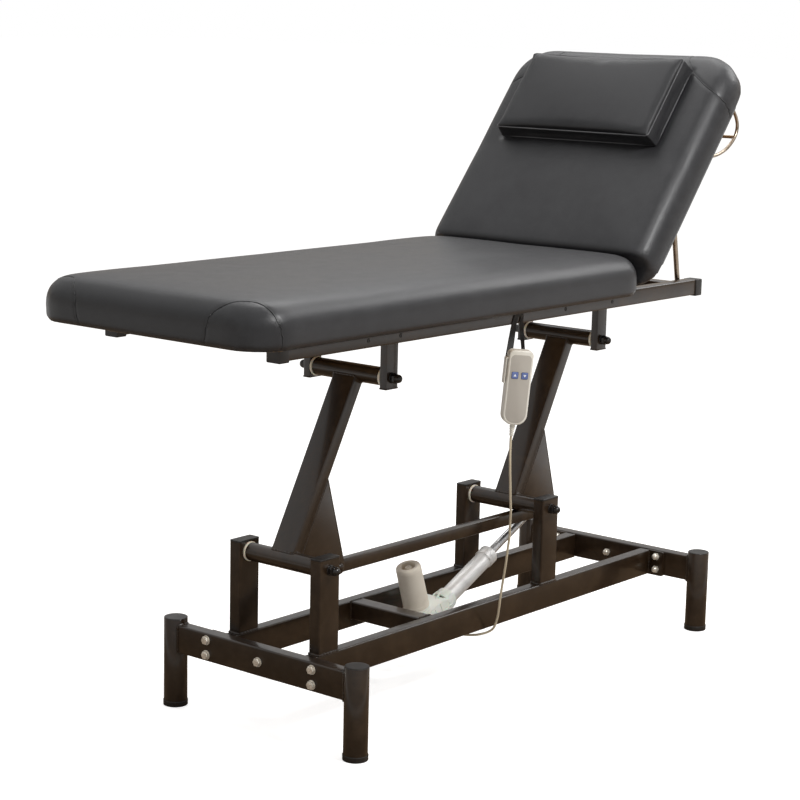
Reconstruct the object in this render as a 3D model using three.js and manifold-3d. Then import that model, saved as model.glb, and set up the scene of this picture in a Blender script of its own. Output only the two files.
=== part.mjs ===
import * as THREE from "three";
import { mergeVertices } from "three/addons/utils/BufferGeometryUtils.js";
import Module from "manifold-3d";

// Electric massage table: a padded top in two sections on a parallelogram lift with a linear actuator.
// Millimetres. +X runs to the head end, the near side is -Y, +Z is up and the floor is z = 0.
// Everything is placed from the middle of the base; the whole table is centred over its origin at the end.

const wasm = await Module();
wasm.setup();

// Driving dimensions

// General clearances and facets
const fit = 0.3;
const overrun = 2;
const mergeDistance = 0.001;
const roundSides = 16;
const motorSides = 20;
const smallSides = 10;
const cornerSteps = 2;
const bevelSteps = 2;
const plateSteps = 5;
const shellSteps = 4;
const bendSteps = 3;
const rodSides = 8;
const wireSides = 6;

// Base: legs, end beams, side rails, posts and the mid cross tube
const legPitchX = 1255;
const legPitchY = 501;
const legRadius = 24.8;
const legTop = 192;
const legCapEdge = 1.5;
const footRadius = 26.2;
const footHeight = 12;
const footFloor = 4;
const footChamfer = 1.5;
const beamWidth = 30;
const beamHeight = 60;
const beamBottom = 119;
const tubeCorner = 3.5;
const baseRailPitch = 221.5;
const baseRailWidth = 28;
const baseRailHeight = 60;
const baseRailBottom = 117;
const endPlateReach = 40;
const endPlateThickness = 5;
const postWidth = 60;
const postDepth = 28;
const postTop = 371;
const plugHeight = 3.8;
const plugChamfer = 1.2;
const crossTubeSize = 40;
const crossTubeX = -225;

// Lift: pivots, swing arms, tie bar
const footPivotX = -568;
const headPivotX = 187;
const lowerPivotZ = 349.6;
const armLength = 414;
const armLean = THREE.MathUtils.degToRad(28.1);
const armWidth = 60;
const armDepth = 30;
const pivotTubeRadius = 19;
const pivotRodRadius = 8;
const washerThickness = 5;
const washerRadius = 20.5;
const flangeRadius = 14;
const flangeThickness = 3;
const nutRadius = 12;
const nutHeight = 9;
const domeRadius = 9.5;
const domeBarrel = 12;
const gussetRise = 183;
const gussetWall = 3;
const linkPinOut = 141.4;
const linkPinUp = 32.4;
const linkPinRadius = 5;
const linkToeRadius = 15;
const linkHeadRadius = 9;
const linkHeadHeight = 6;
const gussetCoverGap = 34;
const tieBarWidth = 20;
const tieBarHeight = 28;
const tieBarEnd = 15;
const tieBarSide = -16.5;
const thinWall = 2;

// Actuator: rear pin, gear housing, motor, outer tube and piston rod
const rearPinX = -140;
const rearPinZ = 88;
const spindleSide = 17;
const rearPinRadius = 6;
const rearLugRadius = 14;
const rearLugWidth = 20;
const clevisThickness = 5;
const clevisRadius = 16;
const clevisPlay = 1;
const housingStart = 21;
const housingEnd = 132;
const housingBelow = 29;
const housingAbove = 26;
const housingNearSide = 24;
const housingCorner = 10;
const housingBevel = 4;
const socketRadius = 25;
const socketLength = 22;
const socketDepth = 20;
const motorAlong = 72.4;
const motorSide = 21;
const motorTilt = THREE.MathUtils.degToRad(6.9);
const motorSeatRise = 4;
const motorBaseRadius = 29.5;
const motorTopRadius = 26;
const motorLength = 98;
const motorRim = 4;
const motorRecess = 6;
const motorBossRadius = 9;
const actuatorTubeRadius = 20;
const actuatorTubeBore = 16;
const actuatorTubeEnd = 316;
const collarRadius = 22.5;
const collarLength = 26;
const collarOverlap = 20;
const rodRadius = 9.5;
const rodInside = 62;
const rodEyeWidth = 16;
const rodEyeRadius = 17;
const rodEyePlay = 7;

// Top frame: rails, sleeves, hangers and head cross tube
const hangerDrop = 134.2;
const railHeight = 36;
const railWidth = 30;
const railInset = 95.6;
const railCorner = 3;
const hingeBehindPivot = 90;
const railFootReach = 1131;
const railHeadReach = 317;
const sleeveLength = 22;
const sleeveWall = 2.4;
const hangerTubeWidth = 40;
const hangerTubeHeight = 30;
const tubeBelowRailTop = 4;
const bracketWidth = 38;
const bracketDepth = 18;
const bracketPitch = 208.6;
const bracketBelowPivot = 20.8;
const bracketPlug = 3;
const bracketPlugLip = 2;
const headTubeBack = 77;

// Boards and cushions
const boardThickness = 15;
const boardInset = 14;
const seatFootReach = 1272;
const seatHeadGap = 12;
const topWidth = 624;
const cushionLip = 1.7;
const seatThickness = 86;
const seatCrown = 5;
const footCornerRadius = 85;
const headCornerRadius = 78;
const cushionTopRadius = 44;
const cushionBottomRadius = 14;
const lipDraw = 12;

// Backrest
const backAngle = THREE.MathUtils.degToRad(50.4);
const backStart = 14;
const backEnd = 635;
const backThickness = 84;
const backTopCorner = 95;
const backLowCorner = 60;
const backBoardStart = 26;
const seatContactGap = 1.5;
const hingeRodRadius = 8;
const hingeEyeRadius = 13;
const backBracketPitch = 300;
const hingeEyeWidth = 5;
const flangePlate = 3;
const flangeWidth = 30;
const flangeEnd = 600;
const hingeWebLength = 70;
const stayEndMargin = 33;
const stayRadius = 6;
const stayPitch = 380;
const stayBend = 22;
const slotPlay = 0.75;
const slotPlateThickness = 4;
const slotPlateMargin = 16;
const slotPlateBelow = 14;
const notchCount = 5;
const notchDepth = 5;

// Pillow
const pillowLength = 440;
const pillowDepth = 225;
const pillowThickness = 45;
const pillowAlong = 452;
const pillowSide = 8;
const pillowCorner = 18;
const pillowEdge = 9;
const pillowCrown = 4;

// Paper roll bar
const paperBarRadius = 4;
const paperBarInset = 37;
const paperBarFootRun = 10;
const paperBarRootBend = 8;
const paperBarFootBend = 40;
const paperBarTipBend = 30;
const paperBarFoot = 398;
const paperBarTip = 539;
const paperBarLean = 8;
const paperBarDrop = 78;
const paperBarNear = 84;
const paperTabRadius = 11;
const paperTabThickness = 2.5;

// Hand control
const handsetWidth = 53;
const handsetHeight = 158;
const handsetDepth = 25;
const handsetX = -146;
const handsetY = -262;
const handsetZ = 688;
const handsetYaw = THREE.MathUtils.degToRad(-50.4);
const handsetTilt = THREE.MathUtils.degToRad(4.6);
const handsetTopCorner = 12;
const handsetLowCorner = 22;
const handsetBevel = 5;
const panelInset = 4.5;
const panelThickness = 1.8;
const buttonSize = 14;
const buttonPitch = 21;
const buttonRise = 26;
const buttonHeight = 3.2;
const buttonProud = 1.4;
const buttonTravel = 1;
const buttonPlay = 0.4;
const reliefTopRadius = 6.5;
const reliefTipRadius = 4.2;
const reliefLength = 24;
const reliefRings = 4;
const reliefGroove = 0.8;
const clipWidth = 14;
const clipHeight = 56;
const clipTop = 42;
const clipThickness = 2;
const clipReach = 5;
const strapWidth = 9;
const strapThickness = 1.6;
const strapSpread = 20;
const strapDrop = 20;
const cableRadius = 2.6;
const cableStraight = 12;
const cableRoute = [
  [-156, -258, 541],
  [-153, -257, 508],
  [-144, -252, 477],
  [-134, -246, 446],
  [-123, -240, 415],
  [-113, -232, 385],
  [-104, -225, 354],
  [-97, -216, 323],
  [-89, -207, 292],
  [-81, -197, 262],
  [-72, -186, 232],
  [-62, -175, 203],
  [-51, -164, 174],
  [-41, -152, 144],
  [-36, -136, 116],
  [-48, -110, 102],
  [-62, -80, 98],
  [-73, -49, 102],
];
const cableSteps = 42;
const glandAlong = 62;
const glandRise = -4;

// Worked out sizes
const baseRailTop = baseRailBottom + baseRailHeight;
const baseRailInner = (baseRailPitch - baseRailWidth) / 2;
const baseRailOuter = (baseRailPitch + baseRailWidth) / 2;
const beamInnerX = legPitchX / 2 - beamWidth / 2;
const pivotRodBore = pivotRodRadius + fit;
const lowerTubeHalf = baseRailInner - washerThickness - 2 * fit;
const armReachX = armLength * Math.sin(armLean);
const armReachZ = armLength * Math.cos(armLean);
const upperPivotZ = lowerPivotZ + armReachZ;
const footHangerX = footPivotX + armReachX;
const headHangerX = headPivotX + armReachX;
const bracketInner = (bracketPitch - bracketDepth) / 2;
const bracketOuter = (bracketPitch + bracketDepth) / 2;
const upperTubeHalf = bracketInner - washerThickness - 2 * fit;
const linkPinX = linkPinOut * Math.cos(armLean) + linkPinUp * Math.sin(armLean);
const linkPinZ = lowerPivotZ - linkPinOut * Math.sin(armLean) + linkPinUp * Math.cos(armLean);
const rodEyeX = headPivotX + linkPinX;
const actuatorAngle = Math.atan2(linkPinZ - rearPinZ, rodEyeX - rearPinX);
const actuatorLength = Math.hypot(linkPinZ - rearPinZ, rodEyeX - rearPinX);
const railTop = upperPivotZ + hangerDrop;
const railPitch = topWidth - 2 * railInset;
const railMiddle = railTop - railHeight / 2;
const railInner = (railPitch - railWidth) / 2;
const railOuter = (railPitch + railWidth) / 2;
const hingeX = headHangerX - hingeBehindPivot;
const railFootX = hingeX - railFootReach;
const railHeadX = hingeX + railHeadReach;
const headTubeX = railHeadX - headTubeBack;
const hangerTubeTop = railTop - tubeBelowRailTop;
const boardBottom = railTop + fit;
const seatFootX = hingeX - seatFootReach;
const seatHeadX = hingeX - seatHeadGap;
const seatBottom = boardBottom + cushionLip;
const seatTop = seatBottom + seatThickness;
const backUnder = railHeight / 2 + fit;
const backLip = backUnder + cushionLip;
const stayLength = railHeadReach - stayEndMargin;
const stayRest = 2 * stayLength * Math.cos(backAngle);
const stayFlat = 2 * stayLength;
const stayPivotX = hingeX + stayLength;
const slotHalf = stayRadius + slotPlay;
const paperBarPitch = topWidth - 2 * paperBarInset;
const paperBarBends = [paperBarRootBend, paperBarFootBend, paperBarTipBend];

// Materials
const finish = (color, roughness, metalness) =>
  new THREE.MeshStandardMaterial({ color, roughness, metalness });
const paintedMetal = () => finish(0x26211d, 0.5, 0.3);
const blackPlastic = () => finish(0x1c1b1a, 0.6, 0);
const nylon = () => finish(0xe9e6dd, 0.5, 0);
const zinc = () => finish(0xb9b4a8, 0.35, 0.9);
const aluminium = () => finish(0xc9ccd0, 0.35, 0.9);
const paleHousing = () => finish(0xd5d8d0, 0.5, 0);
const motorGrey = () => finish(0xb9b0a2, 0.6, 0);
const charcoalLeather = () => finish(0x3f3f41, 0.6, 0);
const plywood = () => finish(0xb58d5c, 0.8, 0);
const creamPlastic = () => finish(0xe6e1d3, 0.45, 0);
const panelGrey = () => finish(0xa9a49c, 0.5, 0);
const buttonBlue = () => finish(0x4d66a6, 0.5, 0);
const cableBeige = () => finish(0xb7a78c, 0.6, 0);

// A closed geometry as a solid that can be joined and cut
function solid(geometry) {
  const bare = geometry.index ? geometry.toNonIndexed() : geometry.clone();
  bare.deleteAttribute("normal");
  bare.deleteAttribute("uv");
  const merged = mergeVertices(bare, mergeDistance);
  const vertProperties = merged.attributes.position.array;
  const triVerts = new Uint32Array(merged.index.array);
  return new wasm.Manifold(new wasm.Mesh({ numProp: 3, vertProperties, triVerts }));
}

function geometryOf(body) {
  const mesh = body.getMesh();
  const geometry = new THREE.BufferGeometry();
  geometry.setAttribute("position", new THREE.BufferAttribute(mesh.vertProperties, 3));
  geometry.setIndex(new THREE.BufferAttribute(mesh.triVerts, 1));
  geometry.computeVertexNormals();
  return geometry;
}

const join = (...bodies) => bodies.reduce((whole, body) => whole.add(body));
const cut = (body, ...tools) => tools.reduce((whole, tool) => whole.subtract(tool), body);

function piece(name, body, material, group) {
  const mesh = new THREE.Mesh(geometryOf(body), material);
  mesh.name = name;
  group.add(mesh);
  return mesh;
}

// A box between two corners
function block(x0, x1, y0, y1, z0, z1) {
  const geometry = new THREE.BoxGeometry(x1 - x0, y1 - y0, z1 - z0);
  geometry.translate((x0 + x1) / 2, (y0 + y1) / 2, (z0 + z1) / 2);
  return solid(geometry);
}

// A bar, bore or nut along Y from y0 to y1
function barY(x, z, radius, y0, y1, sides = roundSides) {
  const geometry = new THREE.CylinderGeometry(radius, radius, y1 - y0, sides);
  geometry.translate(x, (y0 + y1) / 2, z);
  return solid(geometry);
}

// A bar or bore along X from x0 to x1
function barX(y, z, radius, x0, x1, sides = roundSides) {
  const geometry = new THREE.CylinderGeometry(radius, radius, x1 - x0, sides);
  geometry.rotateZ(-Math.PI / 2);
  geometry.translate((x0 + x1) / 2, y, z);
  return solid(geometry);
}

// A turned part standing on Z, from a profile of [radius, height] that starts and ends on the axis
function turnedZ(profile, sides = roundSides) {
  const points = profile.map(([radius, height]) => new THREE.Vector2(radius, height));
  const geometry = new THREE.LatheGeometry(points, sides);
  geometry.rotateX(Math.PI / 2);
  return solid(geometry);
}

function roundedRectangle(width, height, corner) {
  const x = width / 2 - corner;
  const y = height / 2 - corner;
  const shape = new THREE.Shape();
  shape.absarc(x, y, corner, 0, Math.PI / 2);
  shape.absarc(-x, y, corner, Math.PI / 2, Math.PI);
  shape.absarc(-x, -y, corner, Math.PI, 1.5 * Math.PI);
  shape.absarc(x, -y, corner, 1.5 * Math.PI, 2 * Math.PI);
  return shape;
}

function prism(shape, depth, steps = cornerSteps, bevel = 0) {
  const settings = { depth: depth - 2 * bevel, curveSegments: steps, bevelEnabled: bevel > 0 };
  Object.assign(settings, { bevelThickness: bevel, bevelSize: bevel, bevelOffset: -bevel });
  settings.bevelSegments = bevelSteps;
  const geometry = new THREE.ExtrudeGeometry(shape, settings);
  geometry.translate(0, 0, bevel);
  return geometry;
}

// An outline drawn in X and Z, extruded along Y from y0 to y1
function plateY(shape, y0, y1, steps = cornerSteps, bevel = 0) {
  const geometry = prism(shape, y1 - y0, steps, bevel);
  geometry.rotateX(Math.PI / 2);
  geometry.translate(0, y1, 0);
  return solid(geometry);
}

// An outline drawn in Y and Z, extruded along X from x0 to x1
function plateX(shape, x0, x1, y, z, steps = cornerSteps) {
  const geometry = prism(shape, x1 - x0, steps);
  const alongY = new THREE.Vector3(0, 1, 0);
  const alongZ = new THREE.Vector3(0, 0, 1);
  const alongX = new THREE.Vector3(1, 0, 0);
  geometry.applyMatrix4(new THREE.Matrix4().makeBasis(alongY, alongZ, alongX));
  geometry.translate(x0, y, z);
  return solid(geometry);
}

// An outline drawn in X and Y, extruded up from z0 to z1
function plateZ(shape, z0, z1, x, y, steps = cornerSteps, bevel = 0) {
  const geometry = prism(shape, z1 - z0, steps, bevel);
  geometry.translate(x, y, z0);
  return solid(geometry);
}

// A path with one step between each two of its points
class StepPath extends THREE.Curve {
  constructor(points) {
    super();
    this.points = points;
  }
  getPoint(share) {
    return this.points[Math.round(share * (this.points.length - 1))].clone();
  }
  getPointAt(share) {
    return this.getPoint(share);
  }
  getTangentAt(share, target = new THREE.Vector3()) {
    const last = this.points.length - 1;
    const index = Math.round(share * last);
    const here = this.points[index];
    const before = this.points[Math.max(index - 1, 0)];
    const after = this.points[Math.min(index + 1, last)];
    const into = here.clone().sub(before).normalize();
    const out = after.clone().sub(here).normalize();
    return target.copy(into.add(out)).normalize();
  }
}

// The points of a rod that is bent round each inner corner with one radius
function bentPath(corners, bendRadius) {
  const points = [corners[0].clone()];
  for (let i = 1; i < corners.length - 1; i++) {
    const into = corners[i].clone().sub(corners[i - 1]).normalize();
    const out = corners[i + 1].clone().sub(corners[i]).normalize();
    const turn = into.angleTo(out);
    const start = corners[i].clone().addScaledVector(into, -bendRadius * Math.tan(turn / 2));
    const inward = out.clone().addScaledVector(into, -into.dot(out)).normalize();
    const centre = start.clone().addScaledVector(inward, bendRadius);
    for (let k = 0; k <= bendSteps; k++) {
      const angle = (turn * k) / bendSteps;
      const point = centre.clone().addScaledVector(inward, -bendRadius * Math.cos(angle));
      points.push(point.addScaledVector(into, bendRadius * Math.sin(angle)));
    }
  }
  points.push(corners[corners.length - 1].clone());
  return points;
}

// A round section swept through the points
function rod(points, radius, sides = rodSides) {
  const section = new THREE.Shape();
  for (let i = 0; i < sides; i++) {
    const angle = (2 * Math.PI * i) / sides;
    const [x, y] = [radius * Math.cos(angle), radius * Math.sin(angle)];
    if (i === 0) section.moveTo(x, y);
    else section.lineTo(x, y);
  }
  section.closePath();
  const settings = { steps: points.length - 1, extrudePath: new StepPath(points), curveSegments: 1 };
  return solid(new THREE.ExtrudeGeometry(section, settings));
}

const at = (x, y, z) => new THREE.Vector3(x, y, z);
const ordered = (...values) => values.sort((a, b) => a - b);

// The two sides and the two ends, with the sign of Y or X that each lies on
const sides = [
  ["near", -1],
  ["far", 1],
];
const ends = [
  ["foot", -1],
  ["head", 1],
];

// Base

function footCap() {
  const inner = legRadius + fit;
  const profile = [
    [0, 0],
    [footRadius - footChamfer, 0],
    [footRadius, footChamfer],
    [footRadius, footHeight],
    [inner, footHeight],
    [inner, footFloor],
    [0, footFloor],
  ];
  return turnedZ(profile);
}

function leg() {
  const profile = [
    [0, footFloor + fit],
    [legRadius, footFloor + fit],
    [legRadius, legTop - legCapEdge],
    [legRadius - legCapEdge, legTop],
    [0, legTop],
  ];
  return turnedZ(profile);
}

function endFrame() {
  const beamMiddle = beamBottom + beamHeight / 2;
  const section = roundedRectangle(beamWidth, beamHeight, tubeCorner);
  const beam = plateY(section, -legPitchY / 2, legPitchY / 2).translate([0, 0, beamMiddle]);
  const legs = sides.map(([, side]) => leg().translate([0, (side * legPitchY) / 2, 0]));
  return join(beam, ...legs);
}

function baseRail(side) {
  const endX = beamInnerX - fit;
  const middle = baseRailBottom + baseRailHeight / 2;
  const section = roundedRectangle(baseRailWidth, baseRailHeight, tubeCorner);
  const tube = plateX(section, -endX, endX, (side * baseRailPitch) / 2, middle);
  const [y0, y1] = ordered(side * baseRailInner, side * (baseRailOuter + endPlateReach));
  const plates = ends.map(([, end]) => {
    const [x0, x1] = ordered(end * endX, end * (endX - endPlateThickness));
    return block(x0, x1, y0, y1, baseRailBottom, baseRailTop);
  });
  return join(tube, ...plates);
}

function post() {
  const bottom = baseRailTop + fit;
  const section = roundedRectangle(postWidth, postDepth, tubeCorner);
  const tube = plateZ(section, bottom, postTop, 0, 0);
  const plug = plateZ(section, postTop - plugChamfer, postTop + plugHeight, 0, 0, cornerSteps, plugChamfer);
  const bore = barY(0, lowerPivotZ, pivotRodBore, -postDepth / 2 - overrun, postDepth / 2 + overrun);
  return cut(join(tube, plug), bore);
}

// A lug of the rear clevis: it hangs from the cross tube's head face and ends round the actuator's pin
function clevisLug() {
  const face = crossTubeX + crossTubeSize / 2;
  const shape = new THREE.Shape();
  const back = Math.atan2(baseRailTop - rearPinZ, face - rearPinX) - Math.PI / 2;
  shape.moveTo(face - tubeCorner, baseRailTop - tubeCorner);
  shape.lineTo(face - tubeCorner, baseRailTop - crossTubeSize + tubeCorner);
  shape.absarc(rearPinX, rearPinZ, clevisRadius, back + Math.PI, back + 2 * Math.PI);
  shape.closePath();
  return shape;
}

function baseCrossTube() {
  const half = baseRailInner - fit;
  const middle = baseRailTop - crossTubeSize / 2;
  const section = roundedRectangle(crossTubeSize, crossTubeSize, tubeCorner);
  const tube = plateY(section, -half, half).translate([crossTubeX, 0, middle]);
  const inner = rearLugWidth / 2 + clevisPlay;
  const lugs = sides.map(([, side]) => {
    const y0 = spindleSide + (side > 0 ? inner : -inner - clevisThickness);
    return plateY(clevisLug(), y0, y0 + clevisThickness, roundSides / 2);
  });
  const reach = inner + clevisThickness + overrun;
  const bore = barY(rearPinX, rearPinZ, rearPinRadius + fit, spindleSide - reach, spindleSide + reach);
  return cut(join(tube, ...lugs), bore);
}

// A pivot rod with a flanged hexagon nut and a domed end nut on each outer face
function pivotRod(outerFace) {
  const start = outerFace + fit;
  const flangeEndY = start + flangeThickness;
  const nutEnd = flangeEndY + nutHeight;
  const barrelEnd = nutEnd + domeBarrel;
  const fasteners = sides.flatMap(([, side]) => {
    const along = (a, b) => ordered(side * a, side * b);
    const dome = new THREE.SphereGeometry(domeRadius, smallSides, smallSides / 2);
    dome.translate(0, side * barrelEnd, 0);
    return [
      barY(0, 0, flangeRadius, ...along(start, flangeEndY)),
      barY(0, 0, nutRadius, ...along(flangeEndY - fit, nutEnd), 6),
      barY(0, 0, domeRadius, ...along(nutEnd - fit, barrelEnd), smallSides),
      solid(dome),
    ];
  });
  return join(barY(0, 0, pivotRodRadius, -nutEnd, nutEnd, smallSides), ...fasteners);
}

function washer(side, innerHalf) {
  const inner = innerHalf + fit;
  const [y0, y1] = ordered(side * inner, side * (inner + washerThickness));
  const ring = barY(0, 0, washerRadius, y0, y1);
  return cut(ring, barY(0, 0, pivotRodBore, y0 - overrun, y1 + overrun));
}

// Lift

// A swing arm stands upright here, its lower pivot at the origin; its group leans it to the head end.
function gussetOutline() {
  const face = armDepth / 2;
  const toPin = Math.hypot(linkPinOut - face, gussetRise - linkPinUp);
  const lineToPin = Math.atan2(linkPinUp - gussetRise, linkPinOut - face);
  const edgeAngle = lineToPin + Math.asin(linkToeRadius / toPin);
  const underAngle = Math.atan2(linkPinUp, linkPinOut) - Math.PI / 2;
  const shape = new THREE.Shape();
  shape.moveTo(face, gussetRise);
  shape.absarc(linkPinOut, linkPinUp, linkToeRadius, edgeAngle + Math.PI / 2, underAngle, true);
  shape.lineTo(pivotTubeRadius * Math.cos(underAngle), pivotTubeRadius * Math.sin(underAngle));
  shape.lineTo(0, 0);
  shape.lineTo(0, gussetRise);
  shape.closePath();
  return { shape, edgeAngle };
}

// The plate that closes the gusset on its head side, down to where the tie bar must pass
function gussetCover(edgeAngle) {
  const face = armDepth / 2;
  const run = Math.hypot(linkPinOut - face, gussetRise - linkPinUp) - gussetCoverGap;
  const geometry = new THREE.BoxGeometry(run, armWidth, gussetWall);
  geometry.translate(run / 2, 0, -gussetWall / 2);
  geometry.rotateY(-edgeAngle);
  geometry.translate(face, 0, gussetRise);
  return solid(geometry);
}

function swingArm() {
  const half = armWidth / 2;
  const tube = plateZ(roundedRectangle(armDepth, armWidth, tubeCorner), 0, armLength, 0, 0);
  const lower = barY(0, 0, pivotTubeRadius, -lowerTubeHalf, lowerTubeHalf);
  const upper = barY(0, armLength, pivotTubeRadius, -upperTubeHalf, upperTubeHalf);
  const { shape, edgeAngle } = gussetOutline();
  const walls = [-half, half - gussetWall].map((y) => plateY(shape, y, y + gussetWall, plateSteps));
  const pin = barY(linkPinOut, linkPinUp, linkPinRadius, -half, half, smallSides);
  const heads = sides.map(([, side]) => {
    const dome = new THREE.SphereGeometry(linkHeadRadius, smallSides, smallSides / 2);
    dome.scale(1, linkHeadHeight / linkHeadRadius, 1);
    dome.translate(linkPinOut, side * half, linkPinUp);
    return cut(solid(dome), innerSlab(half - gussetWall));
  });
  const bores = [
    barY(0, 0, pivotRodBore, -lowerTubeHalf - overrun, lowerTubeHalf + overrun),
    barY(0, armLength, pivotRodBore, -upperTubeHalf - overrun, upperTubeHalf + overrun),
  ];
  return cut(join(tube, lower, upper, ...walls, gussetCover(edgeAngle), pin, ...heads), ...bores);
}

// The space between the gusset's side walls, which the pin's heads must not enter
function innerSlab(half) {
  const reach = linkPinOut + linkHeadRadius + overrun;
  return block(-reach, reach, -half, half, -reach, reach);
}

// The bore of a thin-walled box tube
function insideOf(width, height) {
  return roundedRectangle(width - 2 * thinWall, height - 2 * thinWall, railCorner - thinWall / 2);
}

function tieBar() {
  const [x0, x1] = [footPivotX + linkPinX - tieBarEnd, headPivotX + linkPinX + tieBarEnd];
  const outer = roundedRectangle(tieBarWidth, tieBarHeight, railCorner);
  const inner = insideOf(tieBarWidth, tieBarHeight);
  const tube = plateX(outer, x0, x1, tieBarSide, linkPinZ);
  const hollow = plateX(inner, x0 - overrun, x1 + overrun, tieBarSide, linkPinZ, 1);
  const reach = tieBarWidth / 2 + overrun;
  const holes = [footPivotX, headPivotX].map((x) =>
    barY(x + linkPinX, linkPinZ, linkPinRadius + fit, tieBarSide - reach, tieBarSide + reach, smallSides),
  );
  return cut(tube, hollow, ...holes);
}

// Actuator: drawn level with its rear pin at the origin and its spindle along X

function gearHousing() {
  const outline = new THREE.Shape();
  const [x0, x1] = [housingStart, housingEnd];
  const [z0, z1] = [-housingBelow, housingAbove];
  const corner = housingCorner;
  outline.moveTo(x0 + corner, z0);
  outline.lineTo(x1 - corner, z0);
  outline.absarc(x1 - corner, z0 + corner, corner, -Math.PI / 2, 0);
  outline.lineTo(x1, z1 - corner);
  outline.absarc(x1 - corner, z1 - corner, corner, 0, Math.PI / 2);
  outline.lineTo(x0 + corner, z1);
  outline.absarc(x0 + corner, z1 - corner, corner, Math.PI / 2, Math.PI);
  outline.lineTo(x0, z0 + corner);
  outline.absarc(x0 + corner, z0 + corner, corner, Math.PI, 1.5 * Math.PI);
  const farSide = motorSide + motorBaseRadius;
  const body = plateY(outline, -housingNearSide, farSide, cornerSteps, housingBevel);
  const half = rearLugWidth / 2;
  const lug = join(
    barY(0, 0, rearLugRadius, -half, half),
    block(0, housingStart + housingBevel, -half, half, -rearLugRadius, rearLugRadius),
  );
  const socket = barX(0, 0, socketRadius, housingEnd - overrun, housingEnd + socketLength);
  const seat = motorPlaced(
    turnedZ([
      [0, -motorBaseRadius],
      [motorBaseRadius, -motorBaseRadius],
      [motorBaseRadius, -fit],
      [0, -fit],
    ]),
  );
  const socketEnd = housingEnd + socketLength;
  const bore = barX(0, 0, actuatorTubeRadius + fit, socketEnd - socketDepth, socketEnd + overrun);
  const pinHole = barY(0, 0, rearPinRadius + fit, -half - overrun, half + overrun);
  return cut(join(body, lug, socket, seat), bore, pinHole);
}

// Moves a part drawn round the motor's axis to the motor's place on the housing
function motorPlaced(body) {
  const turn = THREE.MathUtils.radToDeg(motorTilt);
  return body.rotate([0, turn, 0]).translate([motorAlong, motorSide, housingAbove + motorSeatRise]);
}

function motorCan() {
  const taper = motorBaseRadius - motorTopRadius;
  const profile = [
    [0, 0],
    [motorBaseRadius, 0],
    [motorBaseRadius - taper / 2, motorLength / 2],
    [motorTopRadius, motorLength - motorRim],
    [motorTopRadius - motorRim / 2, motorLength],
    [motorTopRadius - 2 * motorRim, motorLength],
    [motorTopRadius - 2 * motorRim, motorLength - motorRecess],
    [motorBossRadius, motorLength - motorRecess],
    [motorBossRadius - motorRim / 4, motorLength - motorRecess / 3],
    [0, motorLength - motorRecess / 3],
  ];
  return motorPlaced(turnedZ(profile, motorSides));
}

function actuatorTube() {
  const start = housingEnd + socketLength - socketDepth + fit;
  const tube = barX(0, 0, actuatorTubeRadius, start, actuatorTubeEnd);
  return cut(tube, barX(0, 0, actuatorTubeBore, start + thinWall, actuatorTubeEnd + overrun));
}

function tubeCollar() {
  const start = actuatorTubeEnd - collarOverlap;
  const ring = barX(0, 0, collarRadius, start, start + collarLength);
  const seat = barX(0, 0, actuatorTubeRadius + fit, start - overrun, actuatorTubeEnd + fit);
  const mouth = barX(0, 0, rodRadius + fit, start, start + collarLength + overrun);
  return cut(ring, seat, mouth);
}

function pistonRod() {
  const start = actuatorTubeEnd - rodInside;
  const half = rodEyeWidth / 2;
  const hole = linkPinRadius + rodEyePlay;
  const bar = barX(0, 0, rodRadius, start, actuatorLength - hole);
  const eye = barY(actuatorLength, 0, rodEyeRadius, -half, half);
  return cut(join(bar, eye), barY(actuatorLength, 0, hole, -half - overrun, half + overrun));
}

function rearPin() {
  const half = rearLugWidth / 2 + clevisPlay + clevisThickness + fit;
  const pin = barY(0, 0, rearPinRadius, -half - overrun, half + overrun, smallSides);
  const head = barY(0, 0, linkHeadRadius, -half - linkHeadHeight, -half, smallSides);
  const nut = barY(0, 0, linkHeadRadius, half, half + linkHeadHeight, 6);
  return join(pin, head, nut);
}

// Top frame

function topRail(side) {
  const outer = roundedRectangle(railWidth, railHeight, railCorner);
  const inner = insideOf(railWidth, railHeight);
  const y = (side * railPitch) / 2;
  const tube = plateX(outer, railFootX, railHeadX, y, railMiddle);
  const hollow = plateX(inner, railFootX - overrun, railHeadX + overrun, y, railMiddle, 1);
  const [y0, y1] = ordered(side * (railInner - overrun), side * (railInner + thinWall + overrun));
  const hingeHole = barY(hingeX, railMiddle, hingeRodRadius + fit, y0, y1);
  const stayHole = barY(stayPivotX, railMiddle, stayRadius + 2 * fit, y0, y1, smallSides);
  return cut(tube, hollow, hingeHole, stayHole);
}

// A cap on a rail's end, open on top so that the boards lie flat on the rails
function railSleeve(side, end) {
  const face = end < 0 ? railFootX : railHeadX;
  const y = (side * railPitch) / 2;
  const wide = railWidth / 2 + fit;
  const under = railTop - railHeight - fit;
  const [x0, x1] = ordered(face - end * sleeveLength, face + end * (fit + sleeveWall));
  const [i0, i1] = ordered(face - end * (sleeveLength + overrun), face + end * fit);
  const cap = block(x0, x1, y - wide - sleeveWall, y + wide + sleeveWall, under - sleeveWall, railTop);
  return cut(cap, block(i0, i1, y - wide, y + wide, under, railTop + overrun));
}

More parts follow.
